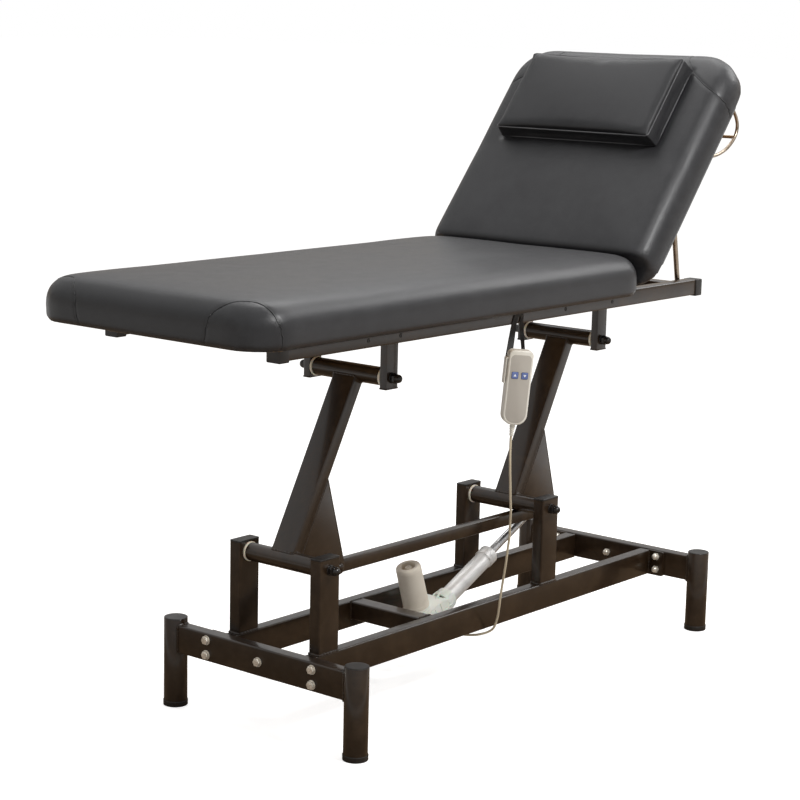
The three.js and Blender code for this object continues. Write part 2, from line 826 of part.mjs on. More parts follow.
function hanger() {
  const half = railInner - fit;
  const section = roundedRectangle(hangerTubeWidth, hangerTubeHeight, railCorner);
  const tube = plateY(section, -half, half).translate([0, 0, hangerTubeTop - hangerTubeHeight / 2]);
  const bottom = upperPivotZ - bracketBelowPivot;
  const bore = barY(0, upperPivotZ, pivotRodBore, -bracketOuter - overrun, bracketOuter + overrun);
  const brackets = sides.flatMap(([, side]) => {
    const y = (side * bracketPitch) / 2;
    const shape = roundedRectangle(bracketWidth, bracketDepth, railCorner);
    const [wide, deep] = [bracketWidth + bracketPlugLip, bracketDepth + bracketPlugLip];
    const flange = roundedRectangle(wide, deep, railCorner);
    return [
      plateZ(shape, bottom, hangerTubeTop - hangerTubeHeight / 2, 0, y),
      plateZ(flange, bottom - bracketPlug, bottom, 0, y),
    ];
  });
  return cut(join(tube, ...brackets), bore);
}

function headCrossTube() {
  const half = railInner - fit;
  const section = roundedRectangle(hangerTubeWidth, hangerTubeHeight, railCorner);
  return plateY(section, -half, half).translate([headTubeX, 0, hangerTubeTop - hangerTubeHeight / 2]);
}

function hingeRod() {
  const half = railInner + thinWall;
  return barY(0, 0, hingeRodRadius, -half, half);
}

// Cushions and boards

// The outline of a padded section: a rectangle with one corner radius at each end, drawn in by an inset
const arcSteps = 5;
const sideSteps = 3;
function outlineRing(x0, x1, halfWidth, startCorner, endCorner, inset) {
  const corners = [
    [x1, 1, 1, endCorner],
    [x0, -1, 1, startCorner],
    [x0, -1, -1, startCorner],
    [x1, 1, -1, endCorner],
  ];
  const arcs = corners.map(([x, alongX, alongY, radius], index) => {
    const corner = Math.max(radius - inset, radius / 4);
    const cx = x - alongX * (inset + corner);
    const cy = alongY * (halfWidth - inset - corner);
    return Array.from({ length: arcSteps + 1 }, (_, k) => {
      const angle = ((index + k / arcSteps) * Math.PI) / 2;
      return new THREE.Vector2(cx + corner * Math.cos(angle), cy + corner * Math.sin(angle));
    });
  });
  const ring = [];
  arcs.forEach((arc, index) => {
    const next = arcs[(index + 1) % arcs.length][0];
    const last = arc[arc.length - 1];
    ring.push(...arc);
    for (let k = 1; k < sideSteps; k++) ring.push(last.clone().lerp(next, k / sideSteps));
  });
  return ring;
}

// A closed skin over a stack of rings, with a middle point under the first and over the last
function stackedRings(rings, heights) {
  const positions = [];
  const count = rings[0].length;
  rings.forEach((ring, level) => {
    ring.forEach((point) => positions.push(point.x, point.y, heights[level]));
  });
  const middle = (ring) => {
    const sum = new THREE.Vector2();
    ring.forEach((point) => sum.add(point));
    return sum.divideScalar(count);
  };
  const index = [];
  for (let level = 0; level < rings.length - 1; level++) {
    for (let i = 0; i < count; i++) {
      const a = level * count + i;
      const b = level * count + ((i + 1) % count);
      index.push(a, b, b + count, a, b + count, a + count);
    }
  }
  const under = positions.length / 3;
  positions.push(...middle(rings[0]).toArray(), heights[0]);
  positions.push(...middle(rings[rings.length - 1]).toArray(), heights[heights.length - 1]);
  const top = (rings.length - 1) * count;
  for (let i = 0; i < count; i++) {
    const next = (i + 1) % count;
    index.push(under, next, i, under + 1, top + i, top + next);
  }
  const geometry = new THREE.BufferGeometry();
  geometry.setAttribute("position", new THREE.Float32BufferAttribute(positions, 3));
  geometry.setIndex(index);
  return geometry;
}

// A padded section: flat below, drawn in at the lip, full at the side, crowned above a rounded edge
const edgeSteps = 5;
const crownShares = [0.12, 0.3, 0.6];
function cushion(outline, bottom, thickness, size) {
  const [x0, x1, halfWidth, startCorner, endCorner] = outline;
  const { topRadius, bottomRadius, draw, crown } = size;
  const shoulder = bottom + thickness - crown - topRadius;
  const levels = [
    [draw, bottom],
    [draw / 3, bottom + bottomRadius / 3],
    [0, bottom + bottomRadius],
  ];
  for (let k = 0; k <= edgeSteps; k++) {
    const angle = (k / edgeSteps) * (Math.PI / 2);
    levels.push([topRadius * (1 - Math.cos(angle)), shoulder + topRadius * Math.sin(angle)]);
  }
  const lastShare = crownShares[crownShares.length - 1];
  for (const share of crownShares) {
    const rise = crown * (1 - (1 - share / lastShare) ** 2);
    levels.push([topRadius + share * (halfWidth - topRadius), shoulder + topRadius + rise]);
  }
  const rings = levels.map(([inset]) => outlineRing(x0, x1, halfWidth, startCorner, endCorner, inset));
  return stackedRings(rings, levels.map(([, height]) => height));
}

function boardShape(x0, x1, halfWidth, startCorner, endCorner, grow = 0) {
  const ring = outlineRing(x0 - grow, x1 + grow, halfWidth + grow, startCorner, endCorner, 0);
  return new THREE.Shape(ring);
}

function board(x0, x1, halfWidth, startCorner, endCorner, bottom) {
  const shape = boardShape(x0, x1, halfWidth, startCorner, endCorner);
  return plateZ(shape, bottom, bottom + boardThickness, 0, 0);
}

function boardPocket(x0, x1, halfWidth, startCorner, endCorner, bottom) {
  const shape = boardShape(x0, x1, halfWidth, startCorner, endCorner, fit);
  return plateZ(shape, bottom - overrun, bottom + boardThickness + fit, 0, 0);
}

const padding = {
  topRadius: cushionTopRadius,
  bottomRadius: cushionBottomRadius,
  draw: lipDraw,
  crown: seatCrown,
};
const boardHalf = topWidth / 2 - boardInset;
const seatBoardArgs = [
  seatFootX + boardInset,
  seatHeadX - boardInset,
  boardHalf,
  footCornerRadius - boardInset,
  headCornerRadius - boardInset,
  boardBottom,
];

function seatCushion() {
  const outline = [seatFootX, seatHeadX, topWidth / 2, footCornerRadius, headCornerRadius];
  const body = solid(cushion(outline, seatBottom, seatThickness, padding));
  return cut(body, boardPocket(...seatBoardArgs));
}

// The backrest is drawn lying along X from its hinge axis; its group raises it.
const backBoardArgs = [
  backStart + backBoardStart,
  backEnd - boardInset,
  boardHalf,
  backLowCorner - boardInset,
  backTopCorner - boardInset,
  backUnder,
];

// The seat's end and shoulder with a gap, as they stand in the raised backrest's frame
function seatShadow() {
  const reach = topWidth;
  const gap = seatContactGap;
  const shoulder = seatTop - seatCrown - cushionTopRadius;
  const end = seatHeadX - hingeX + gap;
  const middle = end - gap - cushionTopRadius;
  const top = seatTop - railMiddle + gap;
  const whole = join(
    block(-reach, end, -reach, reach, -reach, shoulder - railMiddle),
    block(-reach, middle, -reach, reach, -reach, top),
    barY(middle, shoulder - railMiddle, cushionTopRadius + gap, -reach, reach, 2 * roundSides),
  );
  return whole.rotate([0, THREE.MathUtils.radToDeg(backAngle), 0]);
}

function backCushion() {
  const outline = [backStart, backEnd, topWidth / 2, backLowCorner, backTopCorner];
  const body = solid(cushion(outline, backLip, backThickness, padding));
  return cut(body, boardPocket(...backBoardArgs), seatShadow());
}

function pillow() {
  const edges = { topRadius: pillowEdge, bottomRadius: pillowEdge, draw: pillowEdge / 2 };
  const size = { ...edges, crown: pillowCrown };
  const half = pillowLength / 2;
  const bottom = backLip + backThickness + fit;
  const [x0, x1] = [pillowAlong - pillowDepth / 2, pillowAlong + pillowDepth / 2];
  const geometry = cushion([x0, x1, half, pillowCorner, pillowCorner], bottom, pillowThickness, size);
  geometry.translate(0, pillowSide, 0);
  return solid(geometry);
}

// Backrest hardware

// A hinge eye, a flat strap along the board and a slotted plate that the stay slides in
function backBracket() {
  const flangeTop = backUnder - fit;
  const flangeBottom = flangeTop - flangePlate;
  const half = hingeEyeWidth / 2;
  const web = new THREE.Shape();
  web.absarc(0, 0, hingeEyeRadius, Math.PI, 1.5 * Math.PI);
  web.lineTo(hingeWebLength, flangeBottom);
  web.lineTo(hingeWebLength, flangeBottom + flangePlate / 2);
  web.lineTo(0, flangeBottom + flangePlate / 2);
  web.closePath();
  const strap = block(0, flangeEnd, -flangeWidth / 2, flangeWidth / 2, flangeBottom, flangeTop);
  const slotStart = stayRest - slotPlateMargin;
  const slotEnd = stayFlat + slotPlateMargin;
  const side = slotPlateThickness / 2;
  const plate = block(slotStart, slotEnd, -side, side, -slotPlateBelow, flangeBottom + flangePlate / 2);
  const slots = [block(stayRest, stayFlat, -half - overrun, half + overrun, -slotHalf, slotHalf)];
  for (let k = 0; k < notchCount; k++) {
    const x = stayRest + ((stayFlat - stayRest) * k) / (notchCount - 1);
    slots.push(barY(x, 0, slotHalf, -half - overrun, half + overrun, smallSides));
    slots.push(barY(x, notchDepth, slotHalf - slotPlay, -half - overrun, half + overrun, smallSides));
  }
  const bore = barY(0, 0, hingeRodRadius + fit, -half - overrun, half + overrun);
  const eye = barY(0, 0, hingeEyeRadius, -half, half);
  return cut(join(plateY(web, -half, half, shellSteps), eye, strap, plate), bore, ...slots);
}

function backStay() {
  const endY = railInner + thinWall;
  const legY = stayPitch / 2;
  const corners = [
    at(0, -endY, 0),
    at(0, -legY, 0),
    at(stayLength, -legY, 0),
    at(stayLength, legY, 0),
    at(0, legY, 0),
    at(0, endY, 0),
  ];
  const bends = [endBend, stayBend, stayBend, endBend];
  return rod(variedBends(corners, bends), stayRadius, rodSides);
}

// The stay's pivot ends turn out tighter than its top corners
const endBend = railInner + thinWall - stayPitch / 2 - thinWall;
function variedBends(corners, radii) {
  const points = [corners[0].clone()];
  radii.forEach((radius, index) => {
    const bent = bentPath(corners.slice(index, index + 3), radius);
    points.push(...bent.slice(1, -1));
  });
  points.push(corners[corners.length - 1].clone());
  return points;
}

// A bar across the back of the backrest, with a bent loop and two round tabs at each side
function paperRollBar() {
  const under = backUnder - fit;
  const loop = (side) => {
    const y = (side * paperBarPitch) / 2;
    const end = under - paperTabThickness / 2;
    return [
      at(paperBarFoot, y, end),
      at(paperBarFoot, y, under - paperBarFootRun),
      at(paperBarFoot + paperBarNear, y, under - paperBarDrop),
      at(paperBarTip - paperBarLean, y, under - paperBarDrop),
      at(paperBarTip, y, end),
    ];
  };
  const parts = sides.flatMap(([, side]) => {
    const points = variedBends(loop(side), paperBarBends);
    const y = (side * paperBarPitch) / 2;
    const tabs = [paperBarFoot, paperBarTip].map((x) => {
      const profile = [
        [0, under - paperTabThickness],
        [paperTabRadius, under - paperTabThickness],
        [paperTabRadius, under],
        [0, under],
      ];
      return turnedZ(profile, smallSides).translate([x, y, 0]);
    });
    return [rod(points, paperBarRadius, wireSides), ...tabs];
  });
  const lowest = paperBarFoot + paperBarNear + paperBarFootBend / 2;
  const half = paperBarPitch / 2;
  const across = barY(lowest, under - paperBarDrop, paperBarRadius, -half, half, wireSides);
  return join(across, ...parts);
}

// Hand control: drawn upright with its face to -Y, its middle at the origin

function handsetOutline(inset) {
  const x = handsetWidth / 2 - inset;
  const top = handsetHeight / 2 - inset;
  const upper = handsetTopCorner - inset / 2;
  const lower = handsetLowCorner - inset / 2;
  const shape = new THREE.Shape();
  shape.absarc(x - upper, top - upper, upper, 0, Math.PI / 2);
  shape.absarc(upper - x, top - upper, upper, Math.PI / 2, Math.PI);
  shape.absarc(lower - x, lower - top, lower, Math.PI, 1.5 * Math.PI);
  shape.absarc(x - lower, lower - top, lower, 1.5 * Math.PI, 2 * Math.PI);
  return shape;
}

const panelFront = -handsetDepth / 2;
const buttonPlaces = { up_button: -buttonPitch / 2, down_button: buttonPitch / 2 };

function handsetShell() {
  const half = handsetDepth / 2;
  const body = plateY(handsetOutline(0), -half, half, shellSteps, handsetBevel);
  const floor = panelThickness - half + fit;
  const recess = plateY(handsetOutline(panelInset), -half - overrun, floor, shellSteps);
  const wells = Object.values(buttonPlaces).map((x) => buttonWell(x, buttonHeight + buttonTravel + fit));
  const clipX = -handsetWidth / 2;
  const clipSide = clipWidth / 2;
  const clipOut = clipX - clipReach;
  const clip = join(
    block(clipOut, clipOut + clipThickness, -clipSide, clipSide, clipTop - clipHeight, clipTop),
    block(clipOut, clipX + clipThickness, -clipSide, clipSide, clipTop - clipThickness, clipTop),
  );
  return cut(join(body, clip), recess, ...wells);
}

function buttonWell(x, depth) {
  const half = buttonSize / 2 + buttonPlay;
  const [z0, z1] = [buttonRise - half, buttonRise + half];
  return block(x - half, x + half, panelFront - overrun, panelFront + depth, z0, z1);
}

function handsetFace() {
  const outline = handsetOutline(panelInset + fit);
  const panel = plateY(outline, panelFront, panelFront + panelThickness, shellSteps);
  const wells = Object.values(buttonPlaces).map((x) => buttonWell(x, panelThickness + overrun));
  return cut(panel, ...wells);
}

function handsetButton(x) {
  const shape = roundedRectangle(buttonSize, buttonSize, buttonProud);
  const back = panelFront + buttonHeight - buttonProud;
  return plateY(shape, panelFront - buttonProud, back, cornerSteps).translate([x, 0, buttonRise]);
}

// A ribbed sleeve under the shell that the cable comes out of
function strainRelief() {
  const start = -handsetHeight / 2 - fit;
  const profile = [[0, start - reliefLength]];
  const step = reliefLength / (2 * reliefRings);
  for (let k = 2 * reliefRings; k > 0; k--) {
    const share = k / (2 * reliefRings);
    const groove = k % 2 ? reliefGroove : 0;
    const radius = reliefTopRadius + (reliefTipRadius - reliefTopRadius) * share - groove;
    profile.push([radius, start - k * step], [radius, start - (k - 1) * step]);
  }
  profile.push([0, start]);
  return turnedZ(profile, smallSides);
}

// A band bent round a loop: two strands from the rail down to the hand control's top
function handsetStrap() {
  const half = strapWidth / 2;
  const outerY = -railOuter - fit;
  const top = railTop - railHeight / 2;
  const bottom = handsetZ + handsetHeight / 2 + fit;
  const strand = (x0, x1) => {
    const shape = new THREE.Shape();
    shape.moveTo(x0 - half, top);
    shape.lineTo(x0 + half, top);
    shape.lineTo(x1 + half, bottom);
    shape.lineTo(x1 - half, bottom);
    shape.closePath();
    return plateY(shape, outerY - strapThickness, outerY);
  };
  const x = handsetX + strapDrop;
  const [x0, x1] = [x - strapSpread / 2, x + strapSpread + half];
  const fold = block(x0, x1, outerY - strapThickness, outerY, top - strapWidth, top);
  return join(strand(x, handsetX - half), strand(x + strapSpread, handsetX + strapSpread / 2), fold);
}

// The cable hangs from the strain relief, passes under the near base rail and enters the gear housing.
// Its ends run straight, square to what they meet.
function handsetCable(start, startRun, glandRun, gland) {
  const route = cableRoute.map(([x, y, z]) => at(x, y, z));
  const curve = new THREE.CatmullRomCurve3([startRun, ...route, glandRun]);
  return rod([start, ...curve.getSpacedPoints(cableSteps), gland], cableRadius);
}

// The assembly

const table = new THREE.Group();
const group = (x, y, z, parent = table) => {
  const made = new THREE.Group();
  made.position.set(x, y, z);
  parent.add(made);
  return made;
};

const base = group(0, 0, 0);
for (const [endName, end] of ends) {
  const frame = group((end * legPitchX) / 2, 0, 0, base);
  piece(`${endName}_end_frame`, endFrame(), paintedMetal(), frame);
  for (const [sideName, side] of sides) {
    const foot = group(0, (side * legPitchY) / 2, 0, frame);
    piece(`${endName}_${sideName}_foot_cap`, footCap(), blackPlastic(), foot);
  }
}
for (const [sideName, side] of sides) {
  piece(`${sideName}_base_rail`, baseRail(side), paintedMetal(), base);
}
for (const [endName, x] of [["foot", footPivotX], ["head", headPivotX]]) {
  for (const [sideName, side] of sides) {
    const place = group(x, (side * baseRailPitch) / 2, 0, base);
    piece(`${endName}_${sideName}_post`, post(), paintedMetal(), place);
    const bushing = group(x, 0, lowerPivotZ, base);
    piece(`${endName}_${sideName}_lower_washer`, washer(side, lowerTubeHalf), nylon(), bushing);
  }
  const pivot = group(x, 0, lowerPivotZ, base);
  piece(`${endName}_lower_pivot_rod`, pivotRod(baseRailOuter), paintedMetal(), pivot);
}
piece("base_cross_tube", baseCrossTube(), paintedMetal(), base);
piece("actuator_rear_pin", rearPin(), zinc(), group(rearPinX, spindleSide, rearPinZ, base));

for (const [endName, x] of [["foot", footPivotX], ["head", headPivotX]]) {
  const arm = group(x, 0, lowerPivotZ);
  arm.rotation.y = armLean;
  piece(`${endName}_swing_arm`, swingArm(), paintedMetal(), arm);
}
piece("tie_bar", tieBar(), paintedMetal(), table);

const actuator = group(rearPinX, spindleSide, rearPinZ);
actuator.rotation.y = -actuatorAngle;
piece("gear_housing", gearHousing(), paleHousing(), actuator);
piece("motor", motorCan(), motorGrey(), actuator);
piece("actuator_tube", actuatorTube(), aluminium(), actuator);
piece("tube_collar", tubeCollar(), aluminium(), actuator);
piece("piston_rod", pistonRod(), aluminium(), actuator);

const top = group(0, 0, 0);
for (const [sideName, side] of sides) {
  piece(`${sideName}_top_rail`, topRail(side), paintedMetal(), top);
  for (const [endName, end] of ends) {
    piece(`${endName}_${sideName}_rail_cap`, railSleeve(side, end), blackPlastic(), top);
  }
}
for (const [endName, x] of [["foot", footHangerX], ["head", headHangerX]]) {
  piece(`${endName}_hanger`, hanger(), paintedMetal(), group(x, 0, 0, top));
  const pivot = group(x, 0, upperPivotZ, top);
  piece(`${endName}_upper_pivot_rod`, pivotRod(bracketOuter), paintedMetal(), pivot);
  for (const [sideName, side] of sides) {
    piece(`${endName}_${sideName}_upper_washer`, washer(side, upperTubeHalf), nylon(), pivot);
  }
}
piece("head_cross_tube", headCrossTube(), paintedMetal(), top);
piece("hinge_rod", hingeRod(), zinc(), group(hingeX, 0, railMiddle, top));
piece("seat_board", board(...seatBoardArgs), plywood(), top);
piece("seat_cushion", seatCushion(), charcoalLeather(), top);

const back = group(hingeX, 0, railMiddle);
back.rotation.y = -backAngle;
for (const [sideName, side] of sides) {
  const place = group(0, (side * backBracketPitch) / 2, 0, back);
  piece(`${sideName}_back_bracket`, backBracket(), paintedMetal(), place);
}
piece("back_board", board(...backBoardArgs), plywood(), back);
piece("back_cushion", backCushion(), charcoalLeather(), back);
piece("pillow", pillow(), charcoalLeather(), back);
piece("paper_roll_bar", paperRollBar(), zinc(), back);

// At rest the stay, the backrest and the rails form an isosceles triangle.
const stay = group(stayPivotX, 0, railMiddle);
stay.rotation.y = -2 * backAngle;
piece("back_stay", backStay(), zinc(), stay);

const handset = group(handsetX, handsetY, handsetZ);
handset.rotation.set(0, handsetTilt, handsetYaw, "ZYX");
piece("handset_shell", handsetShell(), creamPlastic(), handset);
piece("handset_face", handsetFace(), panelGrey(), handset);
for (const [name, x] of Object.entries(buttonPlaces)) {
  piece(name, handsetButton(x), buttonBlue(), handset);
}
piece("strain_relief", strainRelief(), creamPlastic(), handset);
piece("handset_strap", handsetStrap(), blackPlastic(), table);

// The cable meets the strain relief's tip and the gear housing's near face.
handset.updateMatrix();
actuator.updateMatrix();
const cableEnds = [
  at(0, 0, -handsetHeight / 2 - reliefLength - 2 * fit).applyMatrix4(handset.matrix),
  at(0, 0, -handsetHeight / 2 - reliefLength - cableStraight).applyMatrix4(handset.matrix),
  at(glandAlong, -housingNearSide - cableStraight, glandRise).applyMatrix4(actuator.matrix),
  at(glandAlong, -housingNearSide - fit, glandRise).applyMatrix4(actuator.matrix),
];

// The table stands centred over its origin along X.
table.updateMatrixWorld(true);
const whole = new THREE.Box3().setFromObject(table);
piece("handset_cable", handsetCable(...cableEnds), cableBeige(), table);
table.position.x = -(whole.min.x + whole.max.x) / 2;

export default table;
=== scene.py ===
# %% [markdown]
# An electric massage table, dressed around its CAD frame.
# The CAD model already has every moving part in its place, so this lesson only adds what a
# maker would see and touch: leather, foam, stitching, powder coat, turned steel and plastic.
# Everything is in metres in the CAD model's own frame, so no piece needs to be fitted by eye.

# %% Load the frame and note its size
import math

import bmesh
import bpy
import numpy as np
from mathutils import Matrix, Vector
from mathutils.bvhtree import BVHTree
from mathutils.kdtree import KDTree


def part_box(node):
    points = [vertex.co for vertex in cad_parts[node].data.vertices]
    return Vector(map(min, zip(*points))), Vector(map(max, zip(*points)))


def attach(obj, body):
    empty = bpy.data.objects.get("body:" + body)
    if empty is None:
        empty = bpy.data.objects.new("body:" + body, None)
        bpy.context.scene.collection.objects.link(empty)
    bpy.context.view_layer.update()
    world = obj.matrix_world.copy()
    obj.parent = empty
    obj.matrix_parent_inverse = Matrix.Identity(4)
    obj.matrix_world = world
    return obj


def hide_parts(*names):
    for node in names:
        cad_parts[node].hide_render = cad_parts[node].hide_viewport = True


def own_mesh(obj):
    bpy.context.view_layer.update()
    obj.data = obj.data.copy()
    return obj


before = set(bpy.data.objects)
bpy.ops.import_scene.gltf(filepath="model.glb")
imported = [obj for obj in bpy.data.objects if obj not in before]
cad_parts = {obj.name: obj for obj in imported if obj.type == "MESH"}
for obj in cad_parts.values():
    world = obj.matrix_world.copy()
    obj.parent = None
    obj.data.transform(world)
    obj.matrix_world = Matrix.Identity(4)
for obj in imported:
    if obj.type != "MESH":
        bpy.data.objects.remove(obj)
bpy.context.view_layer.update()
scene = bpy.context.scene
MM = 0.001

# %% [markdown]
# The camera stands at the foot end, a little above the padded top, and looks past the near corner.
# A long lens keeps the two ends of the table nearly the same size. A camera's own axes are the
# columns of its matrix: right, up, and the way back from the picture.

# %% Camera
camera_data = bpy.data.cameras.new("camera")
camera_data.sensor_width = 36
camera_data.lens = 96.886
camera_data.clip_end = 200
camera = bpy.data.objects.new("camera", camera_data)
scene.collection.objects.link(camera)
scene.camera = camera
view_right = Vector((0.63672517, -0.77076992, 0.02224381))
view_up = Vector((0.12444098, 0.13118294, 0.98351689))
view_axes = Matrix((view_right, view_up, view_right.cross(view_up))).transposed()
camera.matrix_world = Matrix.Translation((-3.56426, -2.86795, 1.45849)) @ view_axes.to_4x4()

# %% [markdown]
# A studio for a dark object: a white floor, a white world for the camera, and a greyer one for light
# and reflections. Light Path tells these apart, so the background is white without more light on
# the leather. Three soft lamps, above, at the head end and on the near side, make its edges shine.

# %% Small helpers
def add_node(tree, kind, inputs=None, **settings):
    """Adds a node, sets it, and fills its inputs with values or with another node's outputs."""
    node = tree.nodes.new(kind)
    for name, value in settings.items():
        setattr(node, name, value)
    for name, value in (inputs or {}).items():
        if isinstance(value, bpy.types.NodeSocket):
            tree.links.new(value, node.inputs[name])
        else:
            node.inputs[name].default_value = value
    return node


def mix_colour(tree, share, first, second):
    """A colour between two colours."""
    return add_node(tree, "ShaderNodeMix", {0: share, 6: first, 7: second}, data_type="RGBA").outputs[2]


def arithmetic(tree, operation, first, second):
    """The result of one operation on two values."""
    return add_node(tree, "ShaderNodeMath", {0: first, 1: second}, operation=operation).outputs[0]


def plus(tree, first, second, factor):
    """A value plus a share of another."""
    return arithmetic(tree, "ADD", first, arithmetic(tree, "MULTIPLY", second, factor))


def remap(tree, value, low, high, to_low=0.0, to_high=1.0):
    """A value moved from one range to another, smoothly and without leaving it."""
    inputs = {"Value": value, "From Min": low, "From Max": high, "To Min": to_low, "To Max": to_high}
    return add_node(tree, "ShaderNodeMapRange", inputs, interpolation_type="SMOOTHSTEP").outputs[0]


def linked(name, shape):
    """A shape as an object in the scene."""
    data = bpy.data.meshes.new(name)
    shape.to_mesh(data)
    shape.free()
    piece = bpy.data.objects.new(name, data)
    scene.collection.objects.link(piece)
    return piece


# %% World, lamps and floor
scene.view_settings.view_transform = "Standard"
world = bpy.data.worlds.new("studio")
scene.world = world
world.use_nodes = True
sky = world.node_tree
sky.nodes.clear()
rays = add_node(sky, "ShaderNodeLightPath").outputs
seen = arithmetic(sky, "MAXIMUM", rays["Is Camera Ray"], rays["Is Transmission Ray"])
look = add_node(sky, "ShaderNodeTexCoord").outputs["Generated"]
height = add_node(sky, "ShaderNodeSeparateXYZ", {"Vector": look}).outputs["Z"]
strength = arithmetic(sky, "MAXIMUM", seen, remap(sky, height, 0.05, 0.6, 0.44, 0.85))
plain = arithmetic(sky, "MAXIMUM", seen, remap(sky, height, 0.0, 0.22))
tone = mix_colour(sky, plain, (1, 0.8, 0.6, 1), (1, 1, 1, 1))
seen = arithmetic(sky, "MAXIMUM", seen, rays["Is Glossy Ray"])
light = add_node(sky, "ShaderNodeBackground", {"Color": (1, 0.985, 0.97, 1), "Strength": 0.44})
white = add_node(sky, "ShaderNodeBackground", {"Color": tone, "Strength": strength})
sky_mix = add_node(sky, "ShaderNodeMixShader", {0: seen, 1: light.outputs[0], 2: white.outputs[0]})
add_node(sky, "ShaderNodeOutputWorld", {"Surface": sky_mix.outputs[0]})


def lamp(name, place, target_x, size, power):
    """A soft square lamp that faces the middle of the table at a place along it."""
    data = bpy.data.lights.new(name, "AREA")
    data.size = size
    data.energy = power
    made = bpy.data.objects.new(name, data)
    scene.collection.objects.link(made)
    turn = (Vector((target_x, 0.0, 0.8)) - Vector(place)).to_track_quat("-Z", "Y")
    made.matrix_world = Matrix.LocRotScale(Vector(place), turn, None)


lamp("top_lamp", (1.2, 0.6, 3.3), 0.0, 2.2, 38)
lamp("head_lamp", (3.2, -1.0, 3.0), 0.2, 1.6, 40)
lamp("near_lamp", (-0.14, -2.46, 2.99), 0.2, 0.6, 72)

floor_shape = bmesh.new()
bmesh.ops.create_grid(floor_shape, x_segments=1, y_segments=1, size=60)
floor = linked("floor", floor_shape)
floor_paint = bpy.data.materials.new("studio_floor")
floor_paint.use_nodes = True
tree = floor_paint.node_tree
tree.nodes.clear()
rays = add_node(tree, "ShaderNodeLightPath").outputs
place = add_node(tree, "ShaderNodeTexCoord").outputs["Object"]
away = add_node(tree, "ShaderNodeVectorMath", {0: place}, operation="LENGTH").outputs["Value"]
far = remap(tree, away, 1.4, 4.5)
reflected = mix_colour(tree, far, (0.29, 0.2, 0.125, 1), (0.8, 0.8, 0.8, 1))
floor_tone = mix_colour(tree, rays["Is Glossy Ray"], (0.72, 0.71, 0.7, 1), reflected)
matt = add_node(tree, "ShaderNodeBsdfDiffuse", {"Color": floor_tone})
backdrop = arithmetic(tree, "MULTIPLY", arithmetic(tree, "MULTIPLY", rays["Is Glossy Ray"], far), 0.5)
shine = arithmetic(tree, "MAXIMUM", arithmetic(tree, "MULTIPLY", rays["Is Camera Ray"], 0.76), backdrop)
lift = add_node(tree, "ShaderNodeEmission", {"Color": (1, 1, 1, 1), "Strength": shine})
shown = add_node(tree, "ShaderNodeAddShader", {0: matt.outputs[0], 1: lift.outputs[0]})
add_node(tree, "ShaderNodeOutputMaterial", {"Surface": shown.outputs[0]})
floor.data.materials.append(floor_paint)

# %% [markdown]
# Finishes. Four effects are shared, so each is a node group that puts out a colour, a roughness
# and a height: leather hide, powder coat, bare metal and moulded plastic. Every finish sends these
# to its own Principled BSDF, and numbers that are the same all over sit on the shader's sockets.

# %% Node groups
def effect(name, extra=()):
    """An empty effect with the sockets that all effects share, its inputs, and its place."""
    group = bpy.data.node_groups.new(name, "ShaderNodeTree")
    sockets = [
        ("Colour", "NodeSocketColor", (0.1, 0.1, 0.1, 1)),
        ("Second colour", "NodeSocketColor", (0.2, 0.2, 0.2, 1)),
        ("Scale", "NodeSocketFloat", 500.0),
        ("Smooth", "NodeSocketFloat", 0.35),
        ("Rough", "NodeSocketFloat", 0.6),
        *extra,
    ]
    for title, kind, value in sockets:
        socket = group.interface.new_socket(name=title, in_out="INPUT", socket_type=kind)
        socket.default_value = value
    for title, kind in (("Colour", "Color"), ("Roughness", "Float"), ("Height", "Float")):
        group.interface.new_socket(name=title, in_out="OUTPUT", socket_type="NodeSocket" + kind)
    given = group.nodes.new("NodeGroupInput").outputs
    return group, given, add_node(group, "ShaderNodeTexCoord").outputs["Object"]


def two_tones(group, given, share):
    """An effect's colour, with a share of its second colour."""
    return mix_colour(group, share, given["Colour"], given["Second colour"])


def close(group, given, tone, gloss, relief, low=0.3, high=0.7):
    """Ends an effect with its colour, its gloss spread from smooth to rough, and its height."""
    ends = {"From Min": low, "From Max": high, "To Min": given["Smooth"], "To Max": given["Rough"]}
    rough = add_node(group, "ShaderNodeMapRange", {"Value": gloss, **ends}).outputs[0]
    add_node(group, "NodeGroupOutput", {"Colour": tone, "Roughness": rough, "Height": relief})


def noise(tree, place, scale, detail=2.0, distortion=0.0):
    """A soft noise value."""
    inputs = {"Vector": place, "Scale": scale, "Detail": detail, "Distortion": distortion}
    return add_node(tree, "ShaderNodeTexNoise", inputs).outputs[0]


hide, given, place = effect("leather_hide")
pores = {"Vector": place, "Scale": given["Scale"], "Randomness": 0.95}
cells = add_node(hide, "ShaderNodeTexVoronoi", pores, feature="DISTANCE_TO_EDGE").outputs[0]
pebble = remap(hide, cells, 0.0, 0.32)
fine = noise(hide, place, arithmetic(hide, "MULTIPLY", given["Scale"], 2.6), 3.0)
cloudy = noise(hide, place, 5.5, 5.0, 0.6)
drawn = noise(hide, place, 38.0, 4.0, 0.4)
blotch = remap(hide, plus(hide, cloudy, drawn, 0.6), 0.45, 1.2)
# The grain's hollows are mixed towards near black: painted shade in the pores, on top of the bump.
grain_hollow_shade = remap(hide, cells, 0.0, 0.12, 0.55, 0.0)
tone = mix_colour(hide, grain_hollow_shade, two_tones(hide, given, blotch), (0.012, 0.012, 0.012, 1))
gloss = remap(hide, plus(hide, blotch, pebble, -0.5), -0.5, 1.2)
close(hide, given, tone, gloss, plus(hide, plus(hide, pebble, fine, 0.35), drawn, 0.9), 0.0, 1.0)

